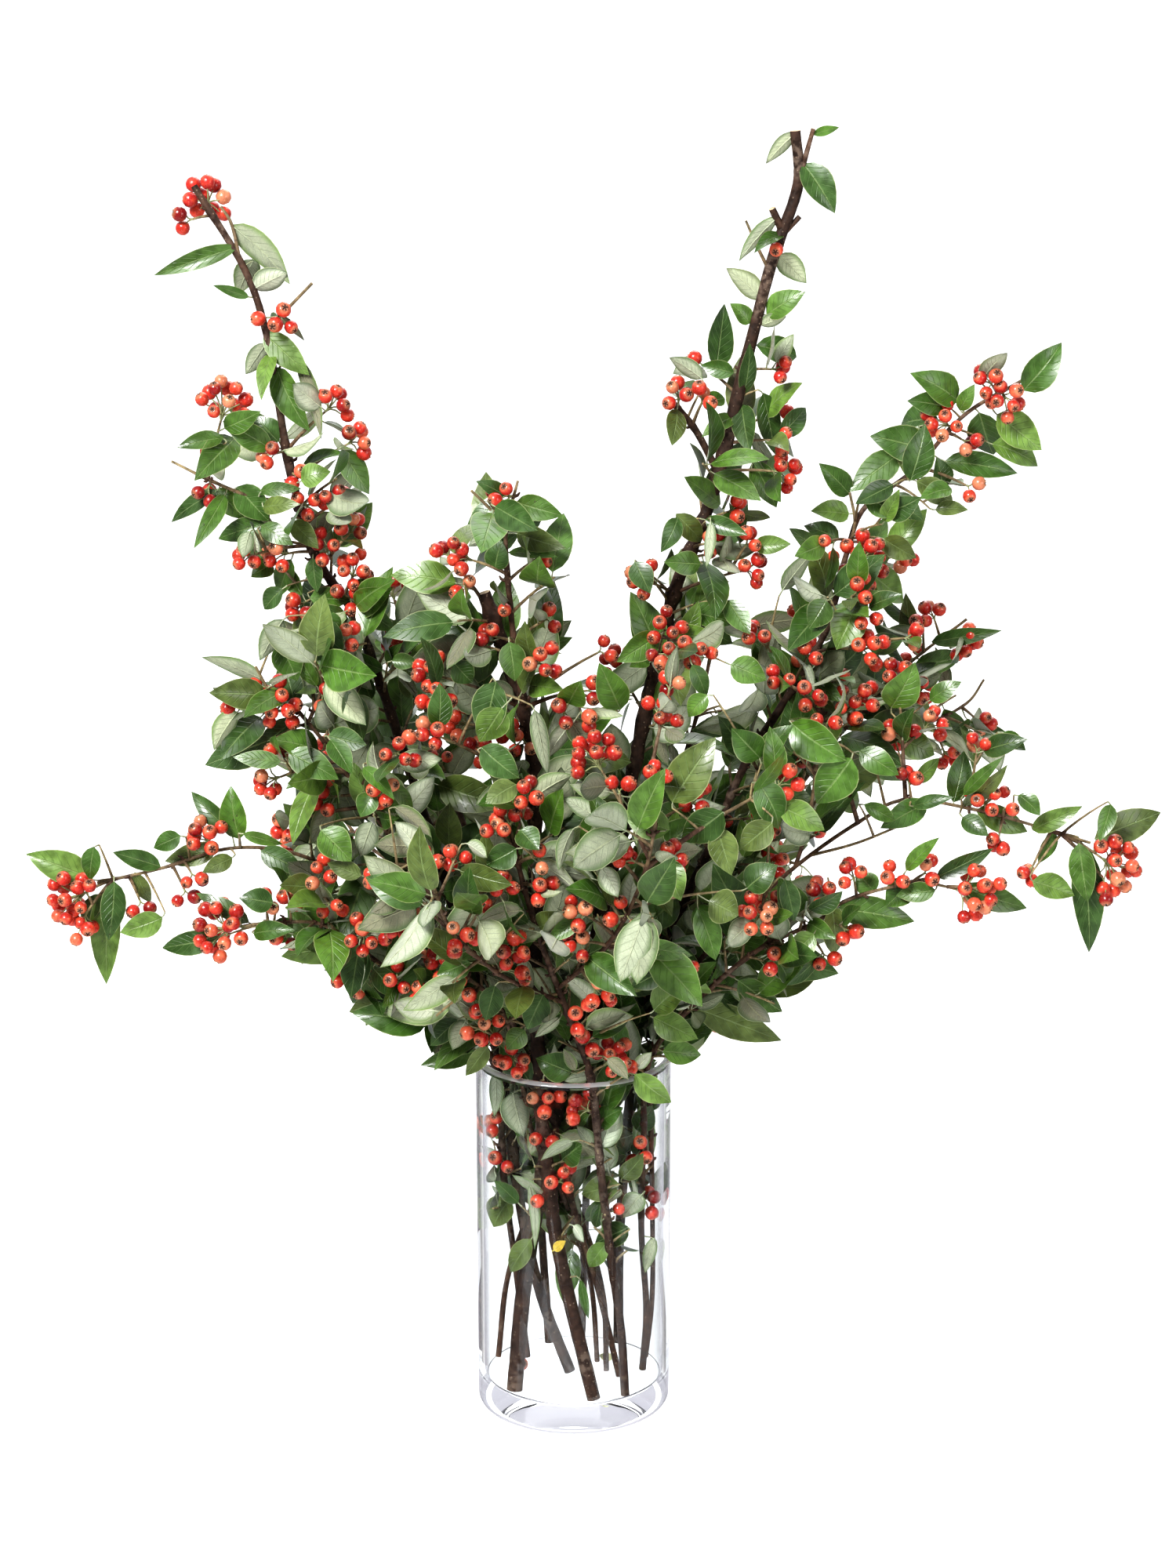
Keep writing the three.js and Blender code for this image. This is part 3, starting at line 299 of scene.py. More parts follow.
MORE_BUNCHES = [
  [-155, 521, 3], [-140, 510, 3], [-134, 495, 4], [-120, 498, 4], [-112, 484, 4], [-127, 475, 4],
  [-152, 470, 5], [-169, 469, 4], [-112, 462, 7], [-143, 443, 4], [-113, 447, 4], [-116, 427, 3],
  [-94, 425, 3], [-75, 408, 5], [-72, 395, 4], [-152, 388, 6], [-74, 376, 4], [-60, 381, -5],
  [-154, 366, 3], [-90, 366, 5], [-101, 343, 4], [-132, 300, 4], [-103, 300, 4], [-76, 309, 2],
  [-62, 307, 4], [-163, 283, 3], [-128, 280, 3], [-110, 266, 8], [-88, 272, 9], [-84, 256, -6],
  [-60, 264, 5], [-124, 244, 4], [-94, 240, 3], [-84, 233, 2], [-64, 237, 3], [-48, 213, 7], [-33, 193, 7],
  [-54, 226, 2], [-36, 440, 1], [-16, 414, 5], [-11, 438, 2], [17, 421, -2], [11, 399, 3], [-6, 384, 2],
  [5, 384, 3], [11, 363, 10], [24, 348, 2], [44, 353, 4], [66, 340, -4], [48, 432, 5], [64, 418, 5],
  [47, 417, 3], [51, 402, 3], [43, 391, 2], [50, 384, 4], [95, 427, 3], [123, 419, 3], [108, 404, 3],
  [124, 394, 4], [131, 383, 2], [146, 388, 5], [112, 350, 6], [-45, 368, -7], [-29, 371, -5], [-23, 343, 4],
  [-42, 324, 2], [-16, 309, 2], [13, 320, 1], [7, 306, 1], [28, 308, 3], [52, 309, 5], [-51, 284, 2],
  [-36, 293, 4], [-17, 290, 3], [3, 279, 4], [2, 262, 4], [27, 275, 6], [-30, 259, 4], [-32, 248, 7],
  [3, 219, 2], [14, 232, 5], [8, 207, 2], [22, 196, 9], [98, 277, 7], [108, 252, 2], [147, 266, 3],
  [136, 251, 2], [66, 247, 1], [149, 452, 3], [154, 435, 2], [154, 420, 6], [169, 409, 4], [152, 394, 4],
  [170, 376, 5], [188, 382, 5], [177, 427, 3], [212, 370, 3], [170, 297, 3], [188, 301, 3], [67, 551, 3],
  [71, 476, 3], [91, 478, 3], [129, 477, 1], [-66, 472, 3], [-58, 453, 2], [-14, 171, 4], [4, 168, 5],
  [-17, 151, 2], [-5, 127, 4], [-18, 115, 1], [-43, 159, 3], [-39, 136, -3], [37, 143, 3], [42, 114, 3],
  [26, 110, 1], [-200, 296, 3], [-262, 273, 6], [-259, 291, 4], [-180, 269, 5], [-153, 261, 2],
  [-116, 232, 1], [284, 313, 5], [284, 293, 4], [220, 290, 5], [224, 316, 3], [227, 337, 3],
]
# Outline of the mass as x and z in the picture, which what grows by rule keeps to, and the open
# places in it as x, z and half width and height.
OUTLINE = [
  [-55, 195], [-81, 188], [-85, 218], [-114, 210], [-122, 229], [-136, 242], [-158, 251], [-154, 284],
  [-166, 307], [-159, 333], [-147, 344], [-193, 359], [-190, 399], [-163, 405], [-163, 436], [-156, 454],
  [-174, 471], [-212, 485], [-206, 525], [-186, 547], [-157, 553], [-157, 581], [-158, 593], [-143, 593],
  [-129, 565], [-116, 545], [-98, 521], [-103, 493], [-93, 461], [-69, 471], [-53, 489], [-47, 513],
  [-28, 513], [-3, 497], [-3, 448], [2, 413], [14, 411], [28, 434], [26, 473], [51, 489], [46, 517],
  [48, 565], [67, 577], [81, 616], [120, 620], [117, 573], [120, 513], [109, 489], [125, 477], [126, 517],
  [167, 553], [205, 497], [169, 473], [182, 456], [172, 436], [223, 432], [238, 365], [222, 352],
  [168, 348], [128, 318], [108, 297], [153, 292], [150, 262], [117, 229], [109, 214], [73, 203],
  [46, 195], [46, 0], [-46, 0], [-46, 195],
]
OPEN = [
  [79, 403, 15, 16], [88, 444, 10, 9], [161, 316, 30, 15], [-2, 411, 8, 10], [72, 359, 6, 7],
  [198, 392, 8, 10],
]
# Leaves that hang over the front of the rim, in front of the glass.
RIM_LEAVES = [[33, 187, 53, 170, 13], [-46, 203, -58, 186, 9], [18, 196, 30, 184, -8]]
RIM_DEPTH = -57.0
# The mass bulges to the front as a dome; what has wood behind it stands BEFORE_WOOD in front of it.
DOME_MIDDLE = 310
DOME_HALF_WIDTH = 175
DOME_HALF_HEIGHT = 130
DOME_DEPTH = 105
BEFORE_WOOD = 9
# Stems rooted further back than this turn their leaves to the back.
BACK_FROM = 55
# A bunch spreads over BUNCH_AREA for each berry, on a cap that reaches BUNCH_CAP of a ball's radius.
BUNCH_AREA = 8.8
BUNCH_CAP = 1.25

# How much of a stem's foliage turns its felted underside to the front.
TURNED = {"front": 0.56, "short": 0.56, "centre": 0.38, "left_mid": 0.36}
TURNED_ELSEWHERE = 0.27
TURNED_IN_VASE = 0.4

LEAF_TONES = [
  (0.040, 0.098, 0.010), (0.060, 0.136, 0.014), (0.030, 0.072, 0.010), (0.052, 0.114, 0.013),
  (0.074, 0.152, 0.020), (0.038, 0.086, 0.015), (0.105, 0.185, 0.030), (0.088, 0.126, 0.026),
]
UNDER_TONES = [
  (0.34, 0.38, 0.26), (0.44, 0.48, 0.35), (0.26, 0.29, 0.19), (0.37, 0.41, 0.26), (0.18, 0.18, 0.11),
]
BERRY_TONES = [
  (0.48, 0.026, 0.016), (0.56, 0.048, 0.024), (0.40, 0.017, 0.013), (0.50, 0.032, 0.018),
  (0.58, 0.105, 0.052), (0.25, 0.009, 0.009), (0.56, 0.190, 0.100),
]
STALK_TONE = (0.25, 0.27, 0.12)
CALYX_TONE = (0.30, 0.19, 0.11)
CRATER_TONE = (0.035, 0.014, 0.008)
SHOULDER_TONE = (0.62, 0.30, 0.14)
SCRAP_TONE = (0.40, 0.40, 0.20)
YELLOW_TONE = (0.60, 0.42, 0.05)

# Ranges of a leaf's own shape: arch, curl, fold and wave as shares of its size, twist and phase in
# radians.
LEAF_SHAPE = {
  "arch": (-0.01, 0.11), "fold": (-0.05, 0.42), "twist": (-0.35, 0.35), "curl": (0.0, 0.10),
  "wave": (0.0, 0.06), "phase": (0.0, 6.28),
}


def unit(v):
    return v / max(1e-9, float(np.linalg.norm(v)))


def seen(x, z, y):
    k = 1.0 - y / EYE[1]
    return np.array((EYE[0] + (x - EYE[0]) * k, y, EYE[2] + (z - EYE[2]) * k))


def in_picture(points):
    """Where points are in the middle plane as they look from the eye: rows of x and z."""
    shares = 1 / (1 - points[:, 1:2] / EYE[1])
    return EYE[[0, 2]] + (points[:, [0, 2]] - EYE[[0, 2]]) * shares


def front_depth(x, z, wood):
    """Depth of what grows in front at x, z: behind the glass, before the nearest wood, or on the
    dome that the mass makes. wood is rows of x and z in the picture and depth."""
    if z < VASE_HEIGHT - 10 and abs(x) < INNER_RADIUS:
        return -0.84 * math.sqrt(max(0.0, (INNER_RADIUS - GLASS_ROOM) ** 2 - x * x))
    nearest = wood[np.argmin(np.hypot(wood[:, 0] - x, wood[:, 1] - z))]
    dome = 1 - (x / DOME_HALF_WIDTH) ** 2 - ((z - DOME_MIDDLE) / DOME_HALF_HEIGHT) ** 2
    return min(nearest[2] - BEFORE_WOOD, -DOME_DEPTH * math.sqrt(max(0.0, dome)))


def draw(seed, count):
    """Seeded draw between 0 and 1, the same as the part's for the same seed and count."""
    s = math.sin(seed * 12.9898 + count * 78.233) * 43758.5453
    return s - math.floor(s)


def between(seed, count, low, high):
    return low + (high - low) * draw(seed, count)


def lerp(a, b, share):
    return a + (b - a) * share


def square_to(heading):
    """Two directions square to the heading, the first one level with the middle plane."""
    first = unit(np.cross(heading, (0.0, 1.0, 0.0)))
    return first, unit(np.cross(heading, first))


def swung(heading, sides, lean, turn):
    """The heading leant out by an angle, to where turn points between the two sides."""
    aside = sides[0] * math.cos(turn) + sides[1] * math.sin(turn)
    return heading * math.cos(lean) + aside * math.sin(lean)


class Route:
    """Smooth way through the control points; along counts on the straight ways between them."""

    FINE = 12

    def __init__(self, points):
        self.points = [np.asarray(p, float) for p in points]
        steps = [np.linalg.norm(b - a) for a, b in zip(self.points, self.points[1:])]
        self.lengths = np.concatenate(([0.0], np.cumsum(steps)))
        self.length = float(self.lengths[-1])
        self.spans = len(steps)
        shares = np.linspace(0.0, self.spans, self.spans * self.FINE + 1)
        self.curve = np.array([self.smooth(s) for s in shares])

    def smooth(self, share):
        """Centripetal Catmull-Rom point; share counts control points."""
        i = min(int(share), self.spans - 1)
        t = share - i
        p = self.points
        before = p[i - 1] if i > 0 else 2 * p[0] - p[1]
        after = p[i + 2] if i + 2 < len(p) else 2 * p[-1] - p[-2]
        b, c = p[i], p[i + 1]
        d0 = max(1e-4, math.sqrt(np.linalg.norm(b - before)))
        d1 = max(1e-4, math.sqrt(np.linalg.norm(c - b)))
        d2 = max(1e-4, math.sqrt(np.linalg.norm(after - c)))
        m1 = ((b - before) / d0 - (c - before) / (d0 + d1) + (c - b) / d1) * d1
        m2 = ((c - b) / d1 - (after - b) / (d1 + d2) + (after - c) / d2) * d1
        return (b + m1 * t + (-3 * b + 3 * c - 2 * m1 - m2) * t * t
                + (2 * b - 2 * c + m1 + m2) * t ** 3)

    def at(self, along):
        """Place on the smooth way, heading of the straight one, and the share of control points."""
        s = min(max(along, 0.0), self.length)
        i = min(int(np.searchsorted(self.lengths, s, side="right")) - 1, self.spans - 1)
        share = i + (s - self.lengths[i]) / (self.lengths[i + 1] - self.lengths[i])
        return self.smooth(share), unit(self.points[i + 1] - self.points[i]), share

    def nearest(self, point):
        gaps = np.linalg.norm(self.curve - point, axis=1)
        i = int(np.argmin(gaps[:-3]))
        return float(gaps[i]), self.curve[i], i / self.FINE


def settle(root, tip):
    """Keeps what grows inside the vase off the glass, and what grows above it off the rim."""
    spread = math.hypot(tip[0], tip[1])
    inside = math.hypot(root[0], root[1]) < INNER_RADIUS and root[2] < VASE_HEIGHT + INSIDE_ROOT
    settled = np.array(tip, float)
    if inside and tip[2] < VASE_HEIGHT + INSIDE_TIP and spread > INNER_RADIUS - GLASS_ROOM:
        settled[:2] *= (INNER_RADIUS - GLASS_ROOM) / spread
    elif not inside and tip[2] < VASE_HEIGHT + RIM_ROOM and spread < VASE_RADIUS + RIM_ASIDE:
        settled[2] = VASE_HEIGHT + RIM_ROOM
    settled[2] = max(settled[2], VASE_FLOOR + FLOOR_ROOM)
    return settled


def leaf_up(root, heading, seed):
    """The side a leaf turns up: to the light, outwards, and to the nearer side of front and back."""
    out = unit(np.array((root[0], root[1], 0.0)))
    facing = 1 if root[1] < BACK_FROM else -1
    target = np.array([between(seed, k, -0.5, 0.5) for k in (31, 32, 33)])
    target = target + UP * 0.55 + out * 0.3 + FRONT * (0.65 * facing)
    return unit(target - heading * np.dot(target, heading))


def bunch_of(centre, heading, count):
    """Berry centres of a bunch: spread evenly over a cap that faces the heading."""
    spread = 0.0 if count < 2 else math.sqrt(BUNCH_AREA * count + 2)
    first, second = square_to(heading)
    berries = []
    for i in range(count):
        c = 1.0 if count < 2 else 1 - (BUNCH_CAP * (i + 0.5)) / count
        s = math.sqrt(max(0.0, 1 - c * c))
        angle = i * GOLDEN_ANGLE
        side = first * math.cos(angle) + second * math.sin(angle)
        berries.append(centre + heading * (c * spread) + side * (s * spread))
    return {"centre": centre, "heading": heading, "spread": spread, "berries": berries}


def sprout(root, out, length, proportion, key):
    """A leaf that grows from root towards out, kept off the glass and the rim."""
    tip = settle(root, root + out * (length + PETIOLE))
    way = unit(tip - root)
    return {
        "root": root, "base": root + way * PETIOLE, "tip": tip, "up": leaf_up(root, way, key),
        "width": length * between(key, 6, *proportion), "key": key,
    }


def shoots_of(route, grow, seed, reaches=SHOOT_REACH, lengths=LEAF_LENGTH):
    """Side shoots by rule: round the stem by the golden angle, with leaves and most with a bunch."""
    start, stop, pitch = grow
    shoots = []
    for n in range(int((stop - start) / pitch) + 1):
        key = seed * 100 + n
        place, heading, _ = route.at(start + n * pitch)
        aim = swung(heading, square_to(heading), between(key, 1, 0.85, 1.2), n * GOLDEN_ANGLE + seed)
        crowded = place[2] < VASE_HEIGHT + 10
        reach = (0.6 if crowded else 1.0) * between(key, 2, *reaches)
        end = settle(place, place + aim * reach)
        count = 3 + int(between(key, 3, 0, 2.99))
        sides = square_to(aim)
        leaves = []
        for j in range(count):
            leaf_key = key * 10 + j
            root = lerp(place, end, 0.35 + (0.65 * (j + 0.4)) / count)
            out = swung(aim, sides, between(leaf_key, 4, 0.6, 1.15), j * GOLDEN_ANGLE + n)
            length = between(leaf_key, 5, *lengths)
            leaves.append(sprout(root, out, length, LEAF_PROPORTION, leaf_key))
        berries = 0 if draw(key, 7) < 0.3 else 1 + int(between(key, 8, 0, 6.99))
        bunch = bunch_of(settle(place, end + aim * 6), aim, berries) if berries else None
        shoots.append({"place": place, "end": end, "leaves": leaves, "bunch": bunch, "key": key})
    return shoots


class Space:
    """Balls already taken, kept by cell, so that a new leaf or berry can look for room."""

    CELL = 6.0
    REACH = 4.4

    def __init__(self):
        self.cells = {}

    def take(self, points, radius):
        for x, y, z in points:
            ball = (x, y, z, radius)
            reach = radius + self.REACH
            lows = [math.floor((v - reach) / self.CELL) for v in (x, y, z)]
            highs = [math.floor((v + reach) / self.CELL) for v in (x, y, z)]
            for i in range(lows[0], highs[0] + 1):
                for j in range(lows[1], highs[1] + 1):
                    for k in range(lows[2], highs[2] + 1):
                        self.cells.setdefault((i, j, k), []).append(ball)

    def crowding(self, points, radius, ruled=True):
        """How deep the points, as balls, reach into what others have taken, into the glass and out
        of the box; what grows by rule also keeps to the outline."""
        total = 0.0
        for x, y, z in points:
            total += glass_clash(x, y, z, radius)
            total += BOX_WEIGHT * max(0.0, BOX_LOW - y, y - BOX_HIGH)
            total += hiding(x, y, z, radius, ruled)
            cell = (math.floor(x / self.CELL), math.floor(y / self.CELL), math.floor(z / self.CELL))
            for bx, by, bz, br in self.cells.get(cell, ()):
                gap = radius + br
                d2 = (x - bx) ** 2 + (y - by) ** 2 + (z - bz) ** 2
                if d2 < gap * gap:
                    total += gap - math.sqrt(d2)
        return total


GLASS_WEIGHT = 6.0
BOX_WEIGHT = 2.0
BOX_ROOM = 11.0
BOX_LOW = cad_low[1] / MM - BOX_ROOM
BOX_HIGH = cad_high[1] / MM + BOX_ROOM
OUTSIDE_WEIGHT = 1.5
HIDING_WEIGHT = 0.22
SHOWN_HIDING = 0.8
HAND_HIDING = 1.2
VASE_WEIGHT = 0.02
RIM_BAND = 207.0
ROOM_CELL = 2.0
ROOM_LOW = np.array((-320.0, -40.0))
ROOM_COUNTS = (320, 380)


def room_cells():
    """Cells of the picture inside the outline and out of its open places."""
    ways = [low + ROOM_CELL * np.arange(count) for low, count in zip(ROOM_LOW, ROOM_COUNTS)]
    x, z = np.meshgrid(*ways, indexing="ij")
    inside = np.zeros(x.shape, bool)
    for (ax, az), (bx, bz) in zip(OUTLINE, OUTLINE[1:] + OUTLINE[:1]):
        if az != bz:
            crossed = (az > z) != (bz > z)
            inside ^= crossed & (x < ax + (z - az) * (bx - ax) / (bz - az))
    for gx, gz, half_x, half_z in OPEN:
        inside &= ((x - gx) / half_x) ** 2 + ((z - gz) / half_z) ** 2 > 1
    return inside


ROOM = room_cells()
NO_WOOD = BOX_HIGH * 2
NEAREST_WOOD = np.full(ROOM.shape, NO_WOOD)
SHOWN_WOOD = np.full(ROOM.shape, NO_WOOD)
SHOWN = ("front",)


def hiding(x, y, z, radius, ruled):
    """What a point costs for where it is: out of the outline, before wood or the rim, in the vase."""
    k = 1 / (1 - y / EYE[1])
    seen_z = EYE[2] + (z - EYE[2]) * k
    i = int((EYE[0] + (x - EYE[0]) * k - ROOM_LOW[0]) / ROOM_CELL)
    j = int((seen_z - ROOM_LOW[1]) / ROOM_CELL)
    if not ruled:
        return HAND_HIDING * radius if y < SHOWN_WOOD[i, j] < NO_WOOD else 0.0
    if not (0 <= i < ROOM.shape[0] and 0 <= j < ROOM.shape[1] and ROOM[i, j]):
        return OUTSIDE_WEIGHT
    if y < -INNER_RADIUS and seen_z < RIM_BAND:
        return OUTSIDE_WEIGHT
    cost = VASE_WEIGHT * radius * radius if z < VASE_HEIGHT else 0.0
    if y < SHOWN_WOOD[i, j] < NO_WOOD:
        return cost + SHOWN_HIDING * radius
    return cost + (HIDING_WEIGHT * radius if y < NEAREST_WOOD[i, j] < NO_WOOD else 0.0)


def mark_wood(route, thick, grids):
    """Notes where the wood is seen and how near, so that what grows by rule leaves it in sight."""
    for share in np.linspace(0, route.spans, max(2, int(route.length / 2))):
        place = route.smooth(share)
        (x, z), = in_picture(place[None])
        half = lerp(thick[0], thick[1], share / route.spans) / 2 - 0.5
        low = np.floor((np.array((x, z)) - half - ROOM_LOW) / ROOM_CELL).astype(int)
        high = np.floor((np.array((x, z)) + half - ROOM_LOW) / ROOM_CELL).astype(int) + 1
        for grid in grids:
            cells = grid[low[0]:high[0], low[1]:high[1]]
            np.minimum(cells, place[1], out=cells)


def glass_clash(x, y, z, radius):
    if z > VASE_HEIGHT + radius:
        return 0.0
    if z < radius:
        return GLASS_WEIGHT * (radius - z)
    rho = math.hypot(x, y)
    low, high = INNER_RADIUS - radius, VASE_RADIUS + radius
    clash = 0.0
    if low < rho < high:
        clash = GLASS_WEIGHT * min(rho - low, high - rho)
    if rho < INNER_RADIUS and z < VASE_FLOOR + radius:
        clash += GLASS_WEIGHT * (VASE_FLOOR + radius - z)
    return clash


def inside_vase(point):
    return math.hypot(point[0], point[1]) < INNER_RADIUS and point[2] < VASE_HEIGHT


LEAF_SPOTS = [(s, t) for s in (0.28, 0.46, 0.64, 0.82) for t in (-0.62, 0.0, 0.62)] + [(1.0, 0.0)]


def width_at(s):
    """Half outline of a leaf, 0 at both ends and 1 at its widest: rounded foot, keen tip."""
    a, b = 0.68, 1.02
    peak = a / (a + b)
    return (s ** a) * ((1 - s) ** b) / (peak ** a * (1 - peak) ** b)


def leaf_axes(leaf):
    along = leaf["tip"] - leaf["base"]
    left = unit(np.cross(leaf["up"], along))
    return along, left, unit(np.cross(along, left))


def leaf_spots(leaf):
    along, left, rise = leaf_axes(leaf)
    length = float(np.linalg.norm(along))
    return [leaf["base"] + along * s + left * (t * 0.5 * leaf["width"] * width_at(s))
            + rise * (length * leaf["arch"] * 4 * s * (1 - s)) for s, t in LEAF_SPOTS]


def dress(leaf, turned):
    """A leaf's own arch, fold, twist and tones, by its key."""
    key = leaf["key"]
    for k, (name, span) in enumerate(LEAF_SHAPE.items()):
        leaf[name] = between(key, 41 + k, *span)
    if draw(key, 47) < turned:
        leaf["up"] = -leaf["up"]
    leaf["tone"] = tone_of(LEAF_TONES, key, 48, 0.18)
    leaf["under"] = tone_of(UNDER_TONES, key, 50, 0.10)
    return leaf


def tone_of(tones, key, count, change):
    tone = np.array(tones[int(draw(key, count) * len(tones)) % len(tones)])
    return tone * (1 + between(key, count + 1, -change, change))


class Soup:
    """Vertices and faces of one piece, gathered batch by batch, in millimetres."""

    def __init__(self):
        self.points, self.tones, self.places, self.creases = [], [], [], []
        self.faces, self.slots, self.count = [], [], 0

    def add(self, points, faces, tones, places, creases):
        """faces is a list of (rows of corners, material slot), corners counted from this batch."""
        points = np.asarray(points, float).reshape(-1, 3)
        n = len(points)
        self.points.append(points)
        self.tones.append(np.asarray(tones, float).reshape(-1, 3))
        self.places.append(np.asarray(places, float).reshape(-1, 3))
        self.creases.append(np.asarray(creases, bool).reshape(-1))
        for rows, slot in faces:
            self.faces.append(np.asarray(rows, int) + self.count)
            self.slots.append(slot)
        self.count += n

    def object(self, name, materials):
        corners = np.concatenate([rows.ravel() for rows in self.faces])
        totals = np.concatenate([np.full(len(rows), rows.shape[1]) for rows in self.faces])
        slots = np.repeat(self.slots, [len(rows) for rows in self.faces])
        mesh = bpy.data.meshes.new(name)
        mesh.vertices.add(self.count)
        mesh.vertices.foreach_set("co", np.concatenate(self.points).ravel() * MM)
        mesh.loops.add(len(corners))
        mesh.loops.foreach_set("vertex_index", corners)
        mesh.polygons.add(len(totals))
        mesh.polygons.foreach_set("loop_start", np.concatenate(([0], np.cumsum(totals)[:-1])))
        mesh.polygons.foreach_set("material_index", slots)
        mesh.update(calc_edges=True)
        tones = np.column_stack((np.concatenate(self.tones), np.ones(self.count)))
        mesh.attributes.new("tone", "FLOAT_COLOR", "POINT").data.foreach_set("color", tones.ravel())
        place = mesh.attributes.new("place", "FLOAT_VECTOR", "POINT")
        place.data.foreach_set("vector", np.concatenate(self.places).ravel())
        mesh.shade_smooth()
        ends = np.zeros(len(mesh.edges) * 2, int)
        mesh.edges.foreach_get("vertices", ends)
        sharp = np.concatenate(self.creases)[ends.reshape(-1, 2)].all(axis=1)
        mesh.attributes.new("sharp_edge", "BOOLEAN", "EDGE").data.foreach_set("value", sharp)
        mesh.validate()
        for material in materials:
            mesh.materials.append(material)
        piece = bpy.data.objects.new(name, mesh)
        bpy.context.scene.collection.objects.link(piece)
        return piece


def unit_rows(v):
    return v / np.maximum(1e-9, np.linalg.norm(v, axis=-1, keepdims=True))


def add_tubes(soup, lines, radii, sides, tones, slot=0, end_slot=None):
    """Closed tubes along N lines of K points: lines N x K x 3, radii N x K, tones N x K x 3.
    The material reads the way along and the way round at each ring."""
    lines, radii = np.asarray(lines, float), np.asarray(radii, float)
    count, rings, _ = lines.shape
    ends = lines[:, 1:2] - lines[:, :1], lines[:, -1:] - lines[:, -2:-1]
    heads = unit_rows(np.concatenate((ends[0], lines[:, 2:] - lines[:, :-2], ends[1]), axis=1))
    level = np.where(np.abs(heads[:, 0, 2:3]) < 0.8, UP, np.array((1.0, 0.0, 0.0)))
    side = unit_rows(np.cross(heads[:, 0], level))
    angles = 2 * math.pi * np.arange(sides) / sides
    points = np.empty((count, rings, sides, 3))
    for k in range(rings):
        head = heads[:, k]
        side = unit_rows(side - head * np.sum(side * head, axis=1, keepdims=True))
        over = np.cross(head, side)
        spokes = side[:, None] * np.cos(angles)[:, None] + over[:, None] * np.sin(angles)[:, None]
        points[:, k] = lines[:, k, None] + spokes * radii[:, k, None, None]
    first = (np.arange(count) * rings * sides)[:, None, None]
    ring = (np.arange(rings - 1) * sides)[None, :, None]
    j = np.arange(sides)[None, None, :]
    a, b = first + ring + j, first + ring + (j + 1) % sides
    walls = np.stack((a, b, b + sides, a + sides), axis=-1).reshape(-1, 4)
    low = first[:, 0] + np.arange(sides)[::-1]
    high = first[:, 0] + (rings - 1) * sides + np.arange(sides)
    steps = np.linalg.norm(np.diff(lines, axis=1), axis=2)
    places = np.zeros((count, rings, sides, 3))
    places[..., 0] = np.concatenate((np.zeros((count, 1)), np.cumsum(steps, axis=1)), axis=1)[:, :, None]
    places[..., 1] = np.arange(sides) / sides
    creases = np.zeros((count, rings, sides), bool)
    creases[:, [0, -1]] = True
    cut = slot if end_slot is None else end_slot
    tones = np.broadcast_to(np.asarray(tones, float)[:, :, None, :], points.shape)
    soup.add(points, [(walls, slot), (low, cut), (high, cut)], tones, places, creases)


def capped_rings(rings, sides):
    """Corners of a closed form: 0 is its foot, 1 its top, then the rings. Foot, walls and top."""
    j = np.arange(sides)
    k = (j + 1) % sides
    starts = 2 + (np.arange(rings - 1) * sides)[:, None]
    last = 2 + (rings - 1) * sides
    foot = np.stack((np.zeros_like(j), 2 + k, 2 + j), axis=1)
    walls = np.stack((starts + j, starts + k, starts + sides + k, starts + sides + j), axis=-1)
    return foot, walls.reshape(-1, 4), np.stack((last + j, last + k, np.ones_like(j)), axis=1)


def repeated(rows, count, size):
    """Rows of corners for each of count equal forms of size points."""
    return (rows[None] + (np.arange(count) * size)[:, None, None]).reshape(-1, rows.shape[1])


def bezier(a, b, c, shares):
    """Quadratic curves from a over b to c: rows of points to N x K x 3."""
    t = np.asarray(shares)[None, :, None]
    return a[:, None] * (1 - t) ** 2 + b[:, None] * (2 * t * (1 - t)) + c[:, None] * t ** 2


# A leaf's two sheets share their outline. Each station but the ends has five points on the upper
# sheet, from margin to margin, and three on the lower one.
STATIONS = 7
ACROSS = np.array((-1.0, -0.55, 0.0, 0.55, 1.0))


def leaf_faces():
    """Corners of one leaf: 0 is its foot, 1 its tip, then eight points for each station."""
    upper = [[2 + i * 8 + j for j in range(5)] for i in range(STATIONS)]
    lower = [[row[0], row[0] + 5, row[0] + 6, row[0] + 7, row[4]] for row in upper]
    quads, fans, under_quads, under_fans = [], [], [], []
    for j in range(4):
        fans.append((0, upper[0][j], upper[0][j + 1]))
        fans.append((upper[-1][j], 1, upper[-1][j + 1]))
        under_fans.append((0, lower[0][j + 1], lower[0][j]))
        under_fans.append((lower[-1][j], lower[-1][j + 1], 1))
    for i in range(STATIONS - 1):
        for j in range(4):
            quads.append((upper[i][j], upper[i + 1][j], upper[i + 1][j + 1], upper[i][j + 1]))
            under_quads.append((lower[i][j], lower[i][j + 1], lower[i + 1][j + 1], lower[i + 1][j]))
    return [(np.array(rows), slot) for rows, slot in (
        (quads, 0), (fans, 0), (under_quads, 1), (under_fans, 1))]


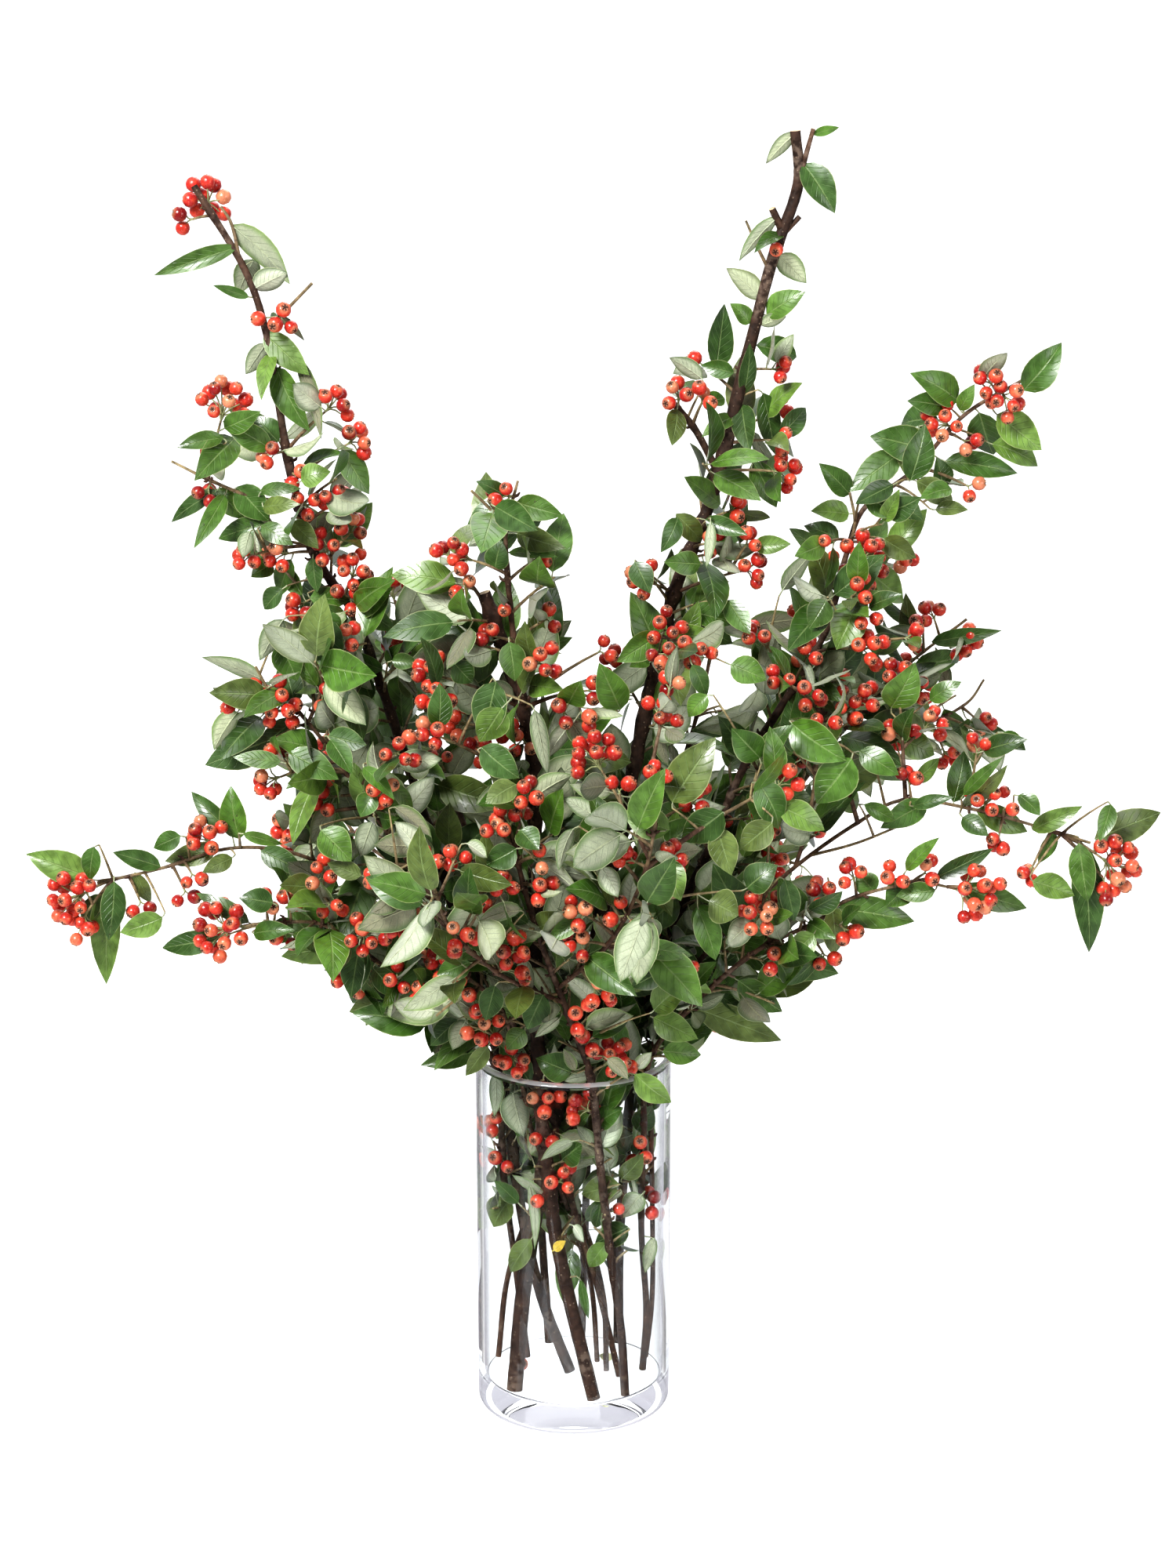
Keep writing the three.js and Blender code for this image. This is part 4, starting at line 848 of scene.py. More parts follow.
def add_leaves(soup, leaves):
    """Blades with their petiole and raised midrib. Slots: 0 upper side, 1 lower side, 2 stalks."""
    names = ("root", "base", "tip", "up", "width", "tone", "under", "key", *LEAF_SHAPE)
    column = {name: np.array([leaf[name] for leaf in leaves], float) for name in names}
    count = len(leaves)
    base, along = column["base"], column["tip"] - column["base"]
    length = np.linalg.norm(along, axis=1)
    left = unit_rows(np.cross(column["up"], along))
    rise = unit_rows(np.cross(along, left))

    def centre(s):
        lift = column["arch"] * 4 * s * (1 - s) - column["curl"] * s ** 3
        return base + along * s + rise * (length * lift)[:, None]

    def spot(s, t, under):
        half = 0.5 * column["width"] * width_at(s)
        turn = (column["twist"] * (s - 0.4))[:, None]
        side = left * np.cos(turn) + rise * np.sin(turn)
        normal = rise * np.cos(turn) - left * np.sin(turn)
        swell = np.sin(4.2 * math.pi * s + column["phase"] + (1.5 if t > 0 else 0))
        ripple = column["wave"] * swell * t * t
        height = half * (column["fold"] * abs(t) ** 1.3 + ripple)
        depth = LEAF_THICKNESS * (1 - t * t) if under else 0.0
        return centre(s) + side * (half * t)[:, None] + normal * (height - depth)[:, None]

    points = np.empty((count, 2 + 8 * STATIONS, 3))
    places = np.zeros((count, 2 + 8 * STATIONS, 3))
    creases = np.zeros((count, 2 + 8 * STATIONS), bool)
    points[:, 0], points[:, 1] = centre(0.0), centre(1.0)
    places[:, 1, 0] = 1.0
    creases[:, :2] = True
    for i in range(STATIONS):
        s = ((i + 1) / (STATIONS + 1)) ** 1.12
        at = 2 + i * 8
        for j, t in enumerate((*ACROSS, *ACROSS[1:4])):
            points[:, at + j] = spot(s, t, j > 4)
            places[:, at + j, :2] = (s, t)
        creases[:, [at, at + 4]] = True
    places[..., 2] = (column["key"] * 0.37 % 1.0)[:, None]
    tones = np.repeat(column["tone"][:, None], points.shape[1], axis=1)
    lower = [2 + i * 8 + j for i in range(STATIONS) for j in (5, 6, 7)]
    tones[:, lower] = column["under"][:, None]
    faces = [(repeated(rows, count, points.shape[1]), slot) for rows, slot in leaf_faces()]
    soup.add(points, faces, tones, places, creases)

    root = column["root"]
    sag = (root + base) / 2 - UP * (0.08 * np.linalg.norm(base - root, axis=1))[:, None]
    stalk = bezier(root, sag, base - rise * 0.25, (0.0, 0.35, 0.7))
    ribs = [spot(s, 0.0, True)[:, None] - rise[:, None] * 0.05 for s in (0.04, 0.3, 0.6, 0.86)]
    line = np.concatenate((stalk, *ribs), axis=1)
    thick = np.linspace(1.15, 0.3, line.shape[1]) * PETIOLE_RADIUS
    stalk_tones = lerp(column["under"], np.array(STALK_TONE), 0.5)[:, None].repeat(line.shape[1], axis=1)
    stalk_tones[:, 3:] = 1.3 * column["under"][:, None]
    add_tubes(soup, line, np.tile(thick, (count, 1)), 3, stalk_tones, slot=2)


# Berry outline, radius and height in berry radii, from the stalk's end to the rim round the calyx.
BERRY_PROFILE = ((0.46, -0.88), (0.86, -0.50), (1.0, 0.04), (0.90, 0.50), (0.62, 0.82), (0.36, 0.88))
BERRY_SIDES = 12
SEPALS = 5
# A sepal's corners: two at its foot, its tip and its back, as swing, radius and height.
SEPAL = ((-0.40, 0.50, 0.84), (0.40, 0.50, 0.84), (0.0, 0.07, 0.93), (0.0, 0.40, 1.0))


def add_berries(soup, centres, axes, radii, tones, keys):
    """Fruits with the sunk end and the five dry sepals folded over it. Slots: 0 skin, 1 calyx."""
    centres, axes, radii, tones = (np.asarray(v, float) for v in (centres, axes, radii, tones))
    count = len(centres)
    level = np.where(np.abs(axes[:, 2:3]) < 0.9, UP, np.array((1.0, 0.0, 0.0)))
    first = unit_rows(np.cross(axes, level))
    second = np.cross(axes, first)
    spin = np.array([draw(key, 61) for key in keys]) * 2 * math.pi

    def ball(angle, r, h):
        turn = (angle + spin)[:, None]
        side = first * np.cos(turn) + second * np.sin(turn)
        return centres + (side * r + axes * h) * radii[:, None]

    rings = len(BERRY_PROFILE)
    size = 2 + rings * BERRY_SIDES
    points = np.empty((count, size, 3))
    points[:, 0], points[:, 1] = ball(0.0, 0.0, -0.97), ball(0.0, 0.0, 0.74)
    skin = tones[:, None, :]
    shades = skin.repeat(size, axis=1)
    shades[:, 1] = CRATER_TONE
    for k, (r, h) in enumerate(BERRY_PROFILE):
        for j in range(BERRY_SIDES):
            points[:, 2 + k * BERRY_SIDES + j] = ball(2 * math.pi * j / BERRY_SIDES, r, h)
    rim = slice(2 + (rings - 1) * BERRY_SIDES, size)
    shoulder = slice(2 + (rings - 2) * BERRY_SIDES, 2 + (rings - 1) * BERRY_SIDES)
    shades[:, rim] = CRATER_TONE
    shades[:, shoulder] = lerp(skin, np.array(SHOULDER_TONE), 0.35)
    corners = capped_rings(rings, BERRY_SIDES)
    faces = [(repeated(rows, count, size), slot) for rows, slot in zip(corners, (0, 0, 1))]
    places = np.zeros((count, size, 3))
    places[..., 2] = (np.asarray(keys, float) * 0.61 % 1.0)[:, None]
    soup.add(points, faces, shades, places, np.zeros((count, size)))

    sepals = np.stack([ball(2 * math.pi * i / SEPALS + swing, r, h)
                       for i in range(SEPALS) for swing, r, h in SEPAL], axis=1)
    one = np.array(((0, 1, 3), (1, 2, 3), (2, 0, 3), (0, 2, 1)))
    rows = repeated(one, count * SEPALS, 4)
    dry = lerp(skin, np.array(CALYX_TONE), 0.7).repeat(SEPALS * 4, axis=1)
    dry[:, 2::4] *= 0.35
    soup.add(sepals, [(rows, 1)], dry, places[:, :SEPALS * 4], np.ones((count, SEPALS * 4)))


class Graph:
    """A node material with a Principled shader, built by short calls."""

    def __init__(self, name):
        self.material = bpy.data.materials.new(name)
        self.material.use_nodes = True
        self.tree = self.material.node_tree
        self.shader = self.tree.nodes["Principled BSDF"]

    def node(self, kind, values=(), **settings):
        """A new node; values are (input, number, colour or another node's output)."""
        node = self.tree.nodes.new(kind)
        for key, value in settings.items():
            setattr(node, key, value)
        for key, value in values:
            if isinstance(value, bpy.types.NodeSocket):
                self.tree.links.new(value, node.inputs[key])
            else:
                node.inputs[key].default_value = value
        return node

    def calc(self, operation, *values):
        return self.node("ShaderNodeMath", tuple(enumerate(values)), operation=operation).outputs[0]

    def product(self, a, b):
        return self.calc("MULTIPLY", a, b)

    def ramp(self, value, start, end, low=0.0, high=1.0):
        """Smooth step of value from start to end, given out as low to high."""
        names = ("Value", "From Min", "From Max", "To Min", "To Max")
        values = tuple(zip(names, (value, start, end, low, high)))
        return self.node("ShaderNodeMapRange", values, interpolation_type="SMOOTHSTEP").outputs["Result"]

    def vary(self, noise, low, high):
        """The middle of a noise, given out as low to high."""
        return self.ramp(noise, 0.3, 0.7, low, high)

    def mix(self, factor, a, b):
        node = self.node("ShaderNodeMix", (), data_type="RGBA")
        for socket, value in zip((node.inputs[0], node.inputs[6], node.inputs[7]), (factor, a, b)):
            if isinstance(value, bpy.types.NodeSocket):
                self.tree.links.new(value, socket)
            else:
                socket.default_value = value
        return node.outputs[2]

    def tinted(self, colour, mask, share, *tint):
        """The colour with a tint laid over it by a share of the mask."""
        return self.mix(self.product(mask, share), colour, rgba(*tint))

    def scaled(self, colour, factor):
        values = ((0, colour), ("Scale", factor))
        return self.node("ShaderNodeVectorMath", values, operation="SCALE").outputs[0]

    def noise(self, scale, detail=2.0):
        where = self.node("ShaderNodeTexCoord").outputs["Object"]
        values = (("Vector", where), ("Scale", scale), ("Detail", detail))
        return self.node("ShaderNodeTexNoise", values).outputs["Fac"]

    def attribute(self, name):
        return self.node("ShaderNodeAttribute", (), attribute_name=name)

    def place(self):
        return self.node("ShaderNodeSeparateXYZ", ((0, self.attribute("place").outputs["Vector"]),)).outputs

    def tone(self):
        return self.attribute("tone").outputs["Color"]

    def finish(self, colour, roughness, height=None, relief=0.0, **fixed):
        """Wires colour, roughness and relief in metres to the shader; fixed sets plain sockets."""
        self.tree.links.new(colour, self.shader.inputs["Base Color"])
        self.tree.links.new(roughness, self.shader.inputs["Roughness"])
        if height is not None:
            values = (("Height", height), ("Distance", relief), ("Strength", 0.8))
            bump = self.node("ShaderNodeBump", values)
            self.tree.links.new(bump.outputs["Normal"], self.shader.inputs["Normal"])
        for key, value in fixed.items():
            self.shader.inputs[key.replace("_", " ")].default_value = value
        return self.material


def rgba(r, g, b):
    return (r, g, b, 1.0)


def vein_masks(graph):
    """Midrib, side veins, margin and each leaf's own number, from the place on the leaf."""
    along, across, own = graph.place()
    side = graph.calc("ABSOLUTE", across)
    midrib = graph.ramp(side, 0.08, 0.015)
    margin = graph.ramp(side, 0.93, 1.0)
    phase = graph.calc("SUBTRACT", graph.product(along, 8.0), graph.product(side, 1.9))
    stripe = graph.calc("ABSOLUTE", graph.calc("SUBTRACT", graph.calc("FRACT", phase), 0.5))
    veins = graph.product(graph.ramp(stripe, 0.10, 0.01), graph.ramp(side, 0.95, 0.55))
    return midrib, veins, margin, own


def leaf_material():
    g = Graph("leaf_upper")
    midrib, veins, margin, own = vein_masks(g)
    cloud = g.noise(170.0, 3.0)
    colour = g.scaled(g.tone(), g.vary(cloud, 0.72, 1.30))
    colour = g.tinted(colour, veins, 0.26, 0.17, 0.29, 0.09)
    colour = g.tinted(colour, midrib, 0.42, 0.25, 0.34, 0.13)
    fleck = g.product(g.ramp(g.noise(620.0, 1.0), 0.70, 0.76), g.ramp(own, 0.55, 0.75))
    colour = g.tinted(colour, fleck, 0.7, 0.035, 0.022, 0.012)
    colour = g.tinted(colour, margin, 0.55, 0.42, 0.45, 0.22)
    height = g.calc("SUBTRACT", g.product(cloud, 0.5), g.calc("ADD", veins, midrib))
    rough = g.vary(cloud, 0.30, 0.47)
    return g.finish(colour, rough, height, 0.0003, Specular_IOR_Level=0.62, Coat_Weight=0.12)


def underside_material():
    g = Graph("leaf_lower")
    midrib, veins, margin, _ = vein_masks(g)
    felt = g.noise(1400.0)
    shade = g.product(g.vary(felt, 0.88, 1.08), g.vary(g.noise(150.0), 0.9, 1.1))
    colour = g.scaled(g.tone(), shade)
    colour = g.tinted(colour, veins, 0.25, 0.24, 0.30, 0.17)
    colour = g.tinted(colour, midrib, 0.5, 0.42, 0.44, 0.26)
    colour = g.tinted(colour, margin, 0.7, 0.48, 0.50, 0.30)
    height = g.calc("ADD", g.product(felt, 0.3), g.calc("ADD", veins, midrib))
    return g.finish(colour, g.vary(felt, 0.78, 0.95), height, 0.0003, Sheen_Weight=0.25)


def stalk_material():
    g = Graph("young_stalk")
    felt = g.noise(900.0)
    colour = g.scaled(g.tone(), g.vary(felt, 0.78, 1.2))
    return g.finish(colour, g.vary(felt, 0.5, 0.7), felt, 0.0002)


def bark_material():
    """Fissured bark with pale lenticels, worn patches and a scar at each node."""
    g = Graph("bark")
    grain = g.noise(330.0, 5.0)
    where = g.node("ShaderNodeTexCoord").outputs["Object"]
    spots = g.node("ShaderNodeTexVoronoi", (("Vector", where), ("Scale", 330.0))).outputs["Distance"]
    lenticel = g.ramp(spots, 0.20, 0.08)
    turns = g.calc("FRACT", g.calc("DIVIDE", g.place()[0], 19.0))
    scar = g.ramp(g.calc("ABSOLUTE", g.calc("SUBTRACT", turns, 0.5)), 0.04, 0.0)
    shade = g.product(g.ramp(grain, 0.25, 0.75, 0.55, 1.5), g.vary(g.noise(60.0), 0.8, 1.35))
    colour = g.scaled(g.tone(), shade)
    worn = g.product(g.ramp(g.noise(42.0, 3.0), 0.5, 0.68), g.ramp(grain, 0.4, 0.6))
    colour = g.tinted(colour, worn, 0.6, 0.165, 0.120, 0.090)
    colour = g.tinted(colour, lenticel, 0.5, 0.32, 0.23, 0.16)
    colour = g.tinted(colour, scar, 0.5, 0.04, 0.025, 0.02)
    height = g.calc("ADD", grain, g.product(lenticel, 0.5))
    return g.finish(colour, g.vary(grain, 0.48, 0.75), height, 0.0006, Specular_IOR_Level=0.22)


def cut_wood_material():
    g = Graph("cut_wood")
    rings = g.noise(900.0, 3.0)
    colour = g.mix(g.ramp(rings, 0.35, 0.65), rgba(0.42, 0.30, 0.17), rgba(0.62, 0.50, 0.33))
    return g.finish(colour, g.vary(rings, 0.6, 0.8), rings, 0.0002)


def berry_material():
    g = Graph("berry_skin")
    cloud = g.noise(260.0, 3.0)
    colour = g.scaled(g.tone(), g.vary(cloud, 0.78, 1.18))
    colour = g.mix(g.ramp(cloud, 0.52, 0.75, 0.0, 0.35), colour, rgba(0.74, 0.19, 0.07))
    dots = g.ramp(g.noise(1500.0, 1.0), 0.66, 0.74, 0.0, 0.35)
    colour = g.mix(dots, colour, rgba(0.80, 0.42, 0.25))
    return g.finish(colour, g.vary(cloud, 0.24, 0.38), cloud, 0.00015, Coat_Weight=0.15)


def calyx_material():
    g = Graph("calyx")
    dry = g.noise(1800.0)
    colour = g.scaled(g.tone(), g.vary(dry, 0.7, 1.3))
    return g.finish(colour, g.vary(dry, 0.7, 0.9), dry, 0.0002)


def glass_material(name, edge=None, clear=1.0):
    """Glass that lamps shine straight through. edge, from facing the eye to turned from it, is where
    thin wall that hardly shows passes into glass that bends and mirrors light."""
    g = Graph(name)
    smear = g.noise(9.0)
    tint = g.mix(g.ramp(smear, 0.3, 0.7), rgba(0.955, 0.975, 0.985), rgba(0.975, 0.987, 0.992))
    # clear below 1 lets only part of the light through, so the rest of the surface shows as pale glass:
    # used on the rim as a painted highlight
    g.finish(tint, g.ramp(smear, 0.4, 0.8, 0.0, 0.008), Transmission_Weight=clear, IOR=1.5)
    passing = g.node("ShaderNodeBsdfTransparent", (("Color", rgba(0.965, 0.975, 0.98)),)).outputs[0]
    body = g.shader.outputs[0]
    if edge:
        facing = g.node("ShaderNodeLayerWeight", (("Blend", 0.5),)).outputs["Facing"]
        values = ((0, g.ramp(facing, *edge, 0.04, 1.0)), (1, passing), (2, body))
        body = g.node("ShaderNodeMixShader", values).outputs[0]
    shadow = g.node("ShaderNodeLightPath").outputs["Is Shadow Ray"]
    both = g.node("ShaderNodeMixShader", ((0, shadow), (1, body), (2, passing)))
    g.tree.links.new(both.outputs[0], g.tree.nodes["Material Output"].inputs["Surface"])
    return g.material


def floor_material():
    g = Graph("pale_floor")
    cloud = g.noise(3.0)
    colour = g.mix(g.ramp(cloud, 0.3, 0.7), rgba(0.69, 0.69, 0.69), rgba(0.71, 0.71, 0.71))
    white = rgba(1.0, 1.0, 1.0)
    return g.finish(colour, g.vary(cloud, 0.8, 0.9), Emission_Color=white, Emission_Strength=0.42)


BARK_TONE = np.array((0.034, 0.018, 0.012))
BROWN_TONE = np.array((0.078, 0.041, 0.025))
YOUNG_TONE = np.array((0.235, 0.190, 0.095))
WOOD_STEP = 3.6
KNOT_BULGE = 0.19
KNOT_REACH = 3.0


def wood_tones(diameters):
    """Dark bark on thick wood, brown on thin, olive on this year's shoots."""
    brown = np.clip((4.6 - diameters) / 2.4, 0, 1)[..., None]
    young = np.clip((2.2 - diameters) / 1.2, 0, 1)[..., None]
    return lerp(lerp(BARK_TONE, BROWN_TONE, brown), YOUNG_TONE, young)


def add_wood(soup, route, thick, nodes, sides):
    """A stem or limb with knots where its shoots leave it, and cut ends."""
    count = max(8, int(route.length / WOOD_STEP))
    shares = np.linspace(0, route.spans, count)
    line = np.array([route.smooth(s) for s in shares])
    diameters = lerp(thick[0], thick[1], shares / route.spans)
    for share in nodes:
        step = (shares - share) * route.length / route.spans
        diameters = diameters + diameters * KNOT_BULGE * np.exp(-(step / KNOT_REACH) ** 2)
    bumps = np.array([between(i + 1, int(thick[0] * 10), -0.03, 0.03) for i in range(count)])
    diameters = diameters * (1 + bumps)
    add_tubes(soup, line[None], diameters[None] / 2, sides, wood_tones(diameters)[None], end_slot=1)


def spurs_of(route, thick, nodes, seed):
    """Short knobbly spurs at the knots, as lines of three points."""
    spurs = []
    for n, share in enumerate(nodes):
        place = route.smooth(share)
        heading = unit(route.smooth(share + 0.02) - route.smooth(share - 0.02))
        first, second = square_to(heading)
        turn = n * GOLDEN_ANGLE * 1.7 + seed
        side = first * math.cos(turn) + second * math.sin(turn)
        radius = lerp(thick[0], thick[1], share / route.spans) / 2
        reach = between(seed * 40 + n, 25, 1.0, 3.4)
        end = place + side * (radius + reach) + heading * (0.8 * reach)
        if end[2] > VASE_HEIGHT or math.hypot(end[0], end[1]) < INNER_RADIUS - 1:
            start = place + side * (radius * 0.5)
            spurs.append((start, place + side * (radius + 0.7 * reach) + heading * (0.3 * reach), end))
    return spurs


class Plant:
    """One stem with all that grows on it."""

    def __init__(self, index, stem, space):
        self.index, self.stem, self.space = index, stem, space
        self.name = stem["name"]
        self.leaves, self.fruits = [], []
        self.twigs, self.pedicels, self.sprays = [], [], []
        ways = [seen(*point) for point in stem["way"]]
        foot = np.array((*stem["foot"], VASE_FLOOR + 0.3))
        slope = unit(ways[0] - foot)
        foot[2] += (stem["thick"][0] / 2) * math.hypot(slope[0], slope[1]) * 1.3
        self.routes = [Route([foot, *ways])]
        self.thicks = [stem["thick"]]
        for limb in stem["limbs"]:
            points = [seen(*point) for point in limb["way"]]
            self.routes.append(Route([self.nearest(points[0])[1], *points[1:]]))
            self.thicks.append(limb["thick"])
        self.nodes = [[] for _ in self.routes]
        self.forks = []
        for route, thick in zip(self.routes, self.thicks):
            grids = (NEAREST_WOOD, SHOWN_WOOD) if self.name in SHOWN else (NEAREST_WOOD,)
            mark_wood(route, thick, grids)
            for share in np.linspace(0, route.spans, max(2, int(route.length / 4))):
                space.take([route.smooth(share)], lerp(thick[0], thick[1], share / route.spans) / 2)

    def nearest(self, point):
        """Nearest wood: gap, place, share and which route."""
        found = [(*route.nearest(point), i) for i, route in enumerate(self.routes)]
        return min(found, key=lambda row: row[0])

    def turned(self, root):
        if inside_vase(root):
            return TURNED_IN_VASE
        return TURNED.get(self.name, TURNED_ELSEWHERE)

    def grow_leaf(self, leaf, choices, limit, ruled=True):
        """Takes the roomiest of the choices of (base, tip, up), if one is under the limit."""
        best, least = None, limit
        for cost, (base, tip, up) in choices:
            trial = {**leaf, "base": base, "tip": tip, "up": up}
            crowding = cost + self.space.crowding(leaf_spots(trial), LEAF_BALL, ruled)
            if crowding < least:
                best, least = trial, crowding
            if least < ROOMY:
                break
        if best is None:
            return False
        self.space.take(leaf_spots(best), LEAF_BALL)
        self.leaves.append(best)
        return True

    def leaf_by_rule(self, leaf):
        dress(leaf, self.turned(leaf["root"]))
        root, key, loose = leaf["root"], leaf["key"], leaf.get("loose")
        reach = float(np.linalg.norm(leaf["tip"] - root))
        way = unit(leaf["tip"] - root)
        side = 1 if np.dot(leaf["up"], leaf_up(root, way, key)) > 0 else -1
        choices = [] if loose else [(0.0, (leaf["base"], leaf["tip"], leaf["up"]))]
        for k in range(TRIES):
            swing = np.array([between(key, 70 + 3 * k + i, -1, 1) for i in range(3)])
            tip = settle(root, root + unit(way + swing * (0.25 + 0.09 * k)) * reach)
            out = unit(tip - root)
            roll = between(key, 100 + k, -LOOSE_ROLL, LOOSE_ROLL) if loose else 0.0
            up = leaf_up(root, out, key) * side
            up = up * math.cos(roll) + np.cross(out, up) * math.sin(roll)
            choices.append((0.04 * k, (root + out * PETIOLE, tip, up)))
        return self.grow_leaf(leaf, choices, LEAF_LIMIT)

    def leaf_by_hand(self, row, key, depth=None):
        """A leaf read from the photograph, at its wood's depth or at a given one."""
        base_x, base_z, tip_x, tip_z, width = row
        y = depth
        if y is None:
            y = self.nearest(seen(base_x, base_z, self.stem["way"][-1][2]))[1][1]
        facing = 0.8 if width < 0 else -0.8
        up = unit(np.array((between(key, 2, -0.4, 0.4), facing, between(key, 3, 0.1, 0.5))))
        leaf = dress({"width": abs(width) * HAND_WIDTH, "key": key, "up": up}, 0.0)
        choices = []
        for k, (shift, bend) in enumerate(BENDS if depth is None else DEEP_BENDS):
            base = seen(base_x, base_z, y + shift)
            tip = seen(tip_x, tip_z, y + shift + between(key, 1, -9, 6) + bend)
            choices.append((0.1 * k, (base, tip, up)))
        self.grow_leaf(leaf, choices, ALWAYS, ruled=False)
        grown = self.leaves[-1]
        base, tip = grown["base"], grown["tip"]
        root = self.twig_root(base, key)
        grown["root"] = root
        if np.linalg.norm(root - base) > LONG_STALK:
            grown["root"] = base - unit(unit(base - root) + unit(tip - base)) * 3
            self.add_twig(root, grown["root"], 0.7, 0.42)

    def twig_root(self, place, key):
        """Where a twig to the place leaves the wood or a longer twig: below it, to grow up and out."""
        gap, nearest, _, _ = self.nearest(place)
        if gap < SHORT_TWIG:
            return nearest
        lower = place - UP * (gap * between(key, 91, 0.25, 0.9))
        if self.forks:
            forks = np.array(self.forks)
            gaps = np.linalg.norm(forks - lerp(place, lower, 0.5), axis=1)
            if gaps.min() < 0.7 * gap:
                return forks[gaps.argmin()]
        return self.nearest(lower)[1]

    def twig(self, start, end, thick, thin):
        """A side twig's line, bowed a little upwards, with its radii and tones."""
        reach = float(np.linalg.norm(end - start))
        middle = (start + end) / 2 + UP * (0.07 * reach)
        line = bezier(start[None], middle[None], end[None], np.linspace(0, 1, TWIG_POINTS))[0]
        radii = np.linspace(thick, thin, TWIG_POINTS)
        return line, radii, wood_tones(radii * 2)

    def add_twig(self, start, end, thick, thin):
        """Adds a twig, which is thicker and can fork if it is long."""
        reach = float(np.linalg.norm(end - start))
        twig = self.twig(start, end, thick * (1 + min(reach, 90) / 140), thin)
        self.twigs.append(twig)
        if reach > FORKED_TWIG:
            self.forks.extend(twig[0][1:-1])

    def add_bunch(self, start, bunch, key, ruled):
        centre, heading, spread = bunch["centre"], bunch["heading"], bunch["spread"]
        alone = len(bunch["berries"]) == 1
        hub = centre - heading * (LONE_STALK if alone else max(0.6 * spread, 3.0))
        loose = LOOSE if len(bunch["berries"]) > 9 else 1.0
        berries = [centre + (b - centre) * loose for b in bunch["berries"]]
        for _ in range(PUSHES):
            for i, a in enumerate(berries):
                for b in berries[:i]:
                    gap = a - b
                    size = float(np.linalg.norm(gap))
                    if size < BERRY_PITCH:
                        push = unit(gap + UP * 1e-3) * (BERRY_PITCH - size) / 2
                        a += push
                        b -= push
        grown = 0
        for i, berry in enumerate(berries):
            own = key * 20 + i + 0.5
            axis = unit(berry - hub + np.array([between(own, k, -1.4, 1.4) for k in (11, 12, 13)]))
            choices = [berry + axis * shift for shift in (0.0, -1.5, 2.0, 4.0)]
            rooms = [self.space.crowding([place], BERRY_BALL, ruled) for place in choices]
            least = int(np.argmin(rooms))
            if rooms[least] > (BERRY_LIMIT if ruled else HAND_BERRY_LIMIT):
                continue
            place = choices[least]
            radius = BERRY_RADIUS * between(own, 14, 0.83, 1.02)
            self.space.take([place], BERRY_BALL)
            self.fruits.append((place, axis, radius, self.berry_tone(key, own), own))
            bend = hub + heading * (0.4 * spread + 1.0)
            self.pedicels.append((hub, bend, place - axis * (0.93 * radius)))
            grown += 1
        if grown:
            self.add_twig(start, hub, TWIG_RADIUS, 0.6)
            self.sprays.append((start, hub, key))
        return grown

    def leaf_sprays(self):
        """Small leaves on the upper part of every bunch's twig, where there is room."""
        for start, hub, key in self.sprays:
            line = self.twig(start, hub, TWIG_RADIUS, 0.6)[0]
            aim = unit(hub - start)
            sides = square_to(aim)
            for j in range(SPRAY_LEAVES):
                own = key * 10 + j + 0.25
                turn = j * GOLDEN_ANGLE + between(key, 90, 0, 6.28)
                out = swung(aim, sides, between(own, 4, 0.7, 1.35), turn)
                leaf = sprout(line[-1 - j], out, between(own, 5, *SPRAY_LENGTH), SPRAY_PROPORTION, own)
                self.leaf_by_rule({**leaf, "loose": True})

    def berry_tone(self, key, own):
        """Most of a bunch ripens alike, with some berries of their own."""
        if draw(own, 15) < 0.55:
            return tone_of(BERRY_TONES, own, 16, 0.14)
        return tone_of(BERRY_TONES[:4], key, 17, 0.10)

    def bunches_by_hand(self):
        for i, (x, z, y, count) in enumerate(self.stem["bunches"]):
            self.bunch_at(seen(x, z, y), count, self.index * 30 + i + 900)

    def bunch_at(self, middle, count, key):
        root = self.twig_root(middle, key)
        _, _, share, which = self.nearest(root)
        self.nodes[which].append(share)
        heading = unit(middle - root + FRONT * 0.1)
        self.add_bunch(root, bunch_of(middle - heading * 2, heading, count), key, False)

    def leaves_by_hand(self):
        for i, row in enumerate(self.stem["leaves"]):
            self.leaf_by_hand(row, self.index * 50 + i + 7000)

    def ruled_shoots(self):
        """The part's side shoots, then shorter ones with smaller leaves between them."""
        sets = []
        for i, route in enumerate(self.routes):
            grow = self.stem["grow"] if i == 0 else self.stem["limbs"][i - 1].get("grow")
            if grow:
                seed = self.index + 1 if i == 0 else self.index + i * 20
                first, last, pitch = grow
                sets.append((i, shoots_of(route, grow, seed)))
                if i == 0:
                    fine = (first + pitch * 0.45, min(last, FINE_END), pitch * FINE_PITCH)
                    more = shoots_of(route, fine, seed + 300, FINE_REACHES, FINE_LENGTHS)
                    for shoot in more:
                        shoot["bunch"] = shoot["bunch"] if draw(shoot["key"], 9) < FINE_FRUIT else None
                        for leaf in shoot["leaves"]:
                            leaf["loose"] = True
                    sets.append((i, more))
        for i, shoots in sets:
            for shoot in shoots:
                self.nodes[i].append(self.routes[i].nearest(shoot["place"])[2])
        return [shoot for _, shoots in sets for shoot in shoots]

    def shoot_bunch(self, shoot):
        bunch = shoot["bunch"]
        if bunch and bunch["centre"][1] > FRUIT_FROM:
            start = lerp(shoot["place"], shoot["end"], 0.8)
            shoot["grown"] = self.add_bunch(start, bunch, shoot["key"], True)

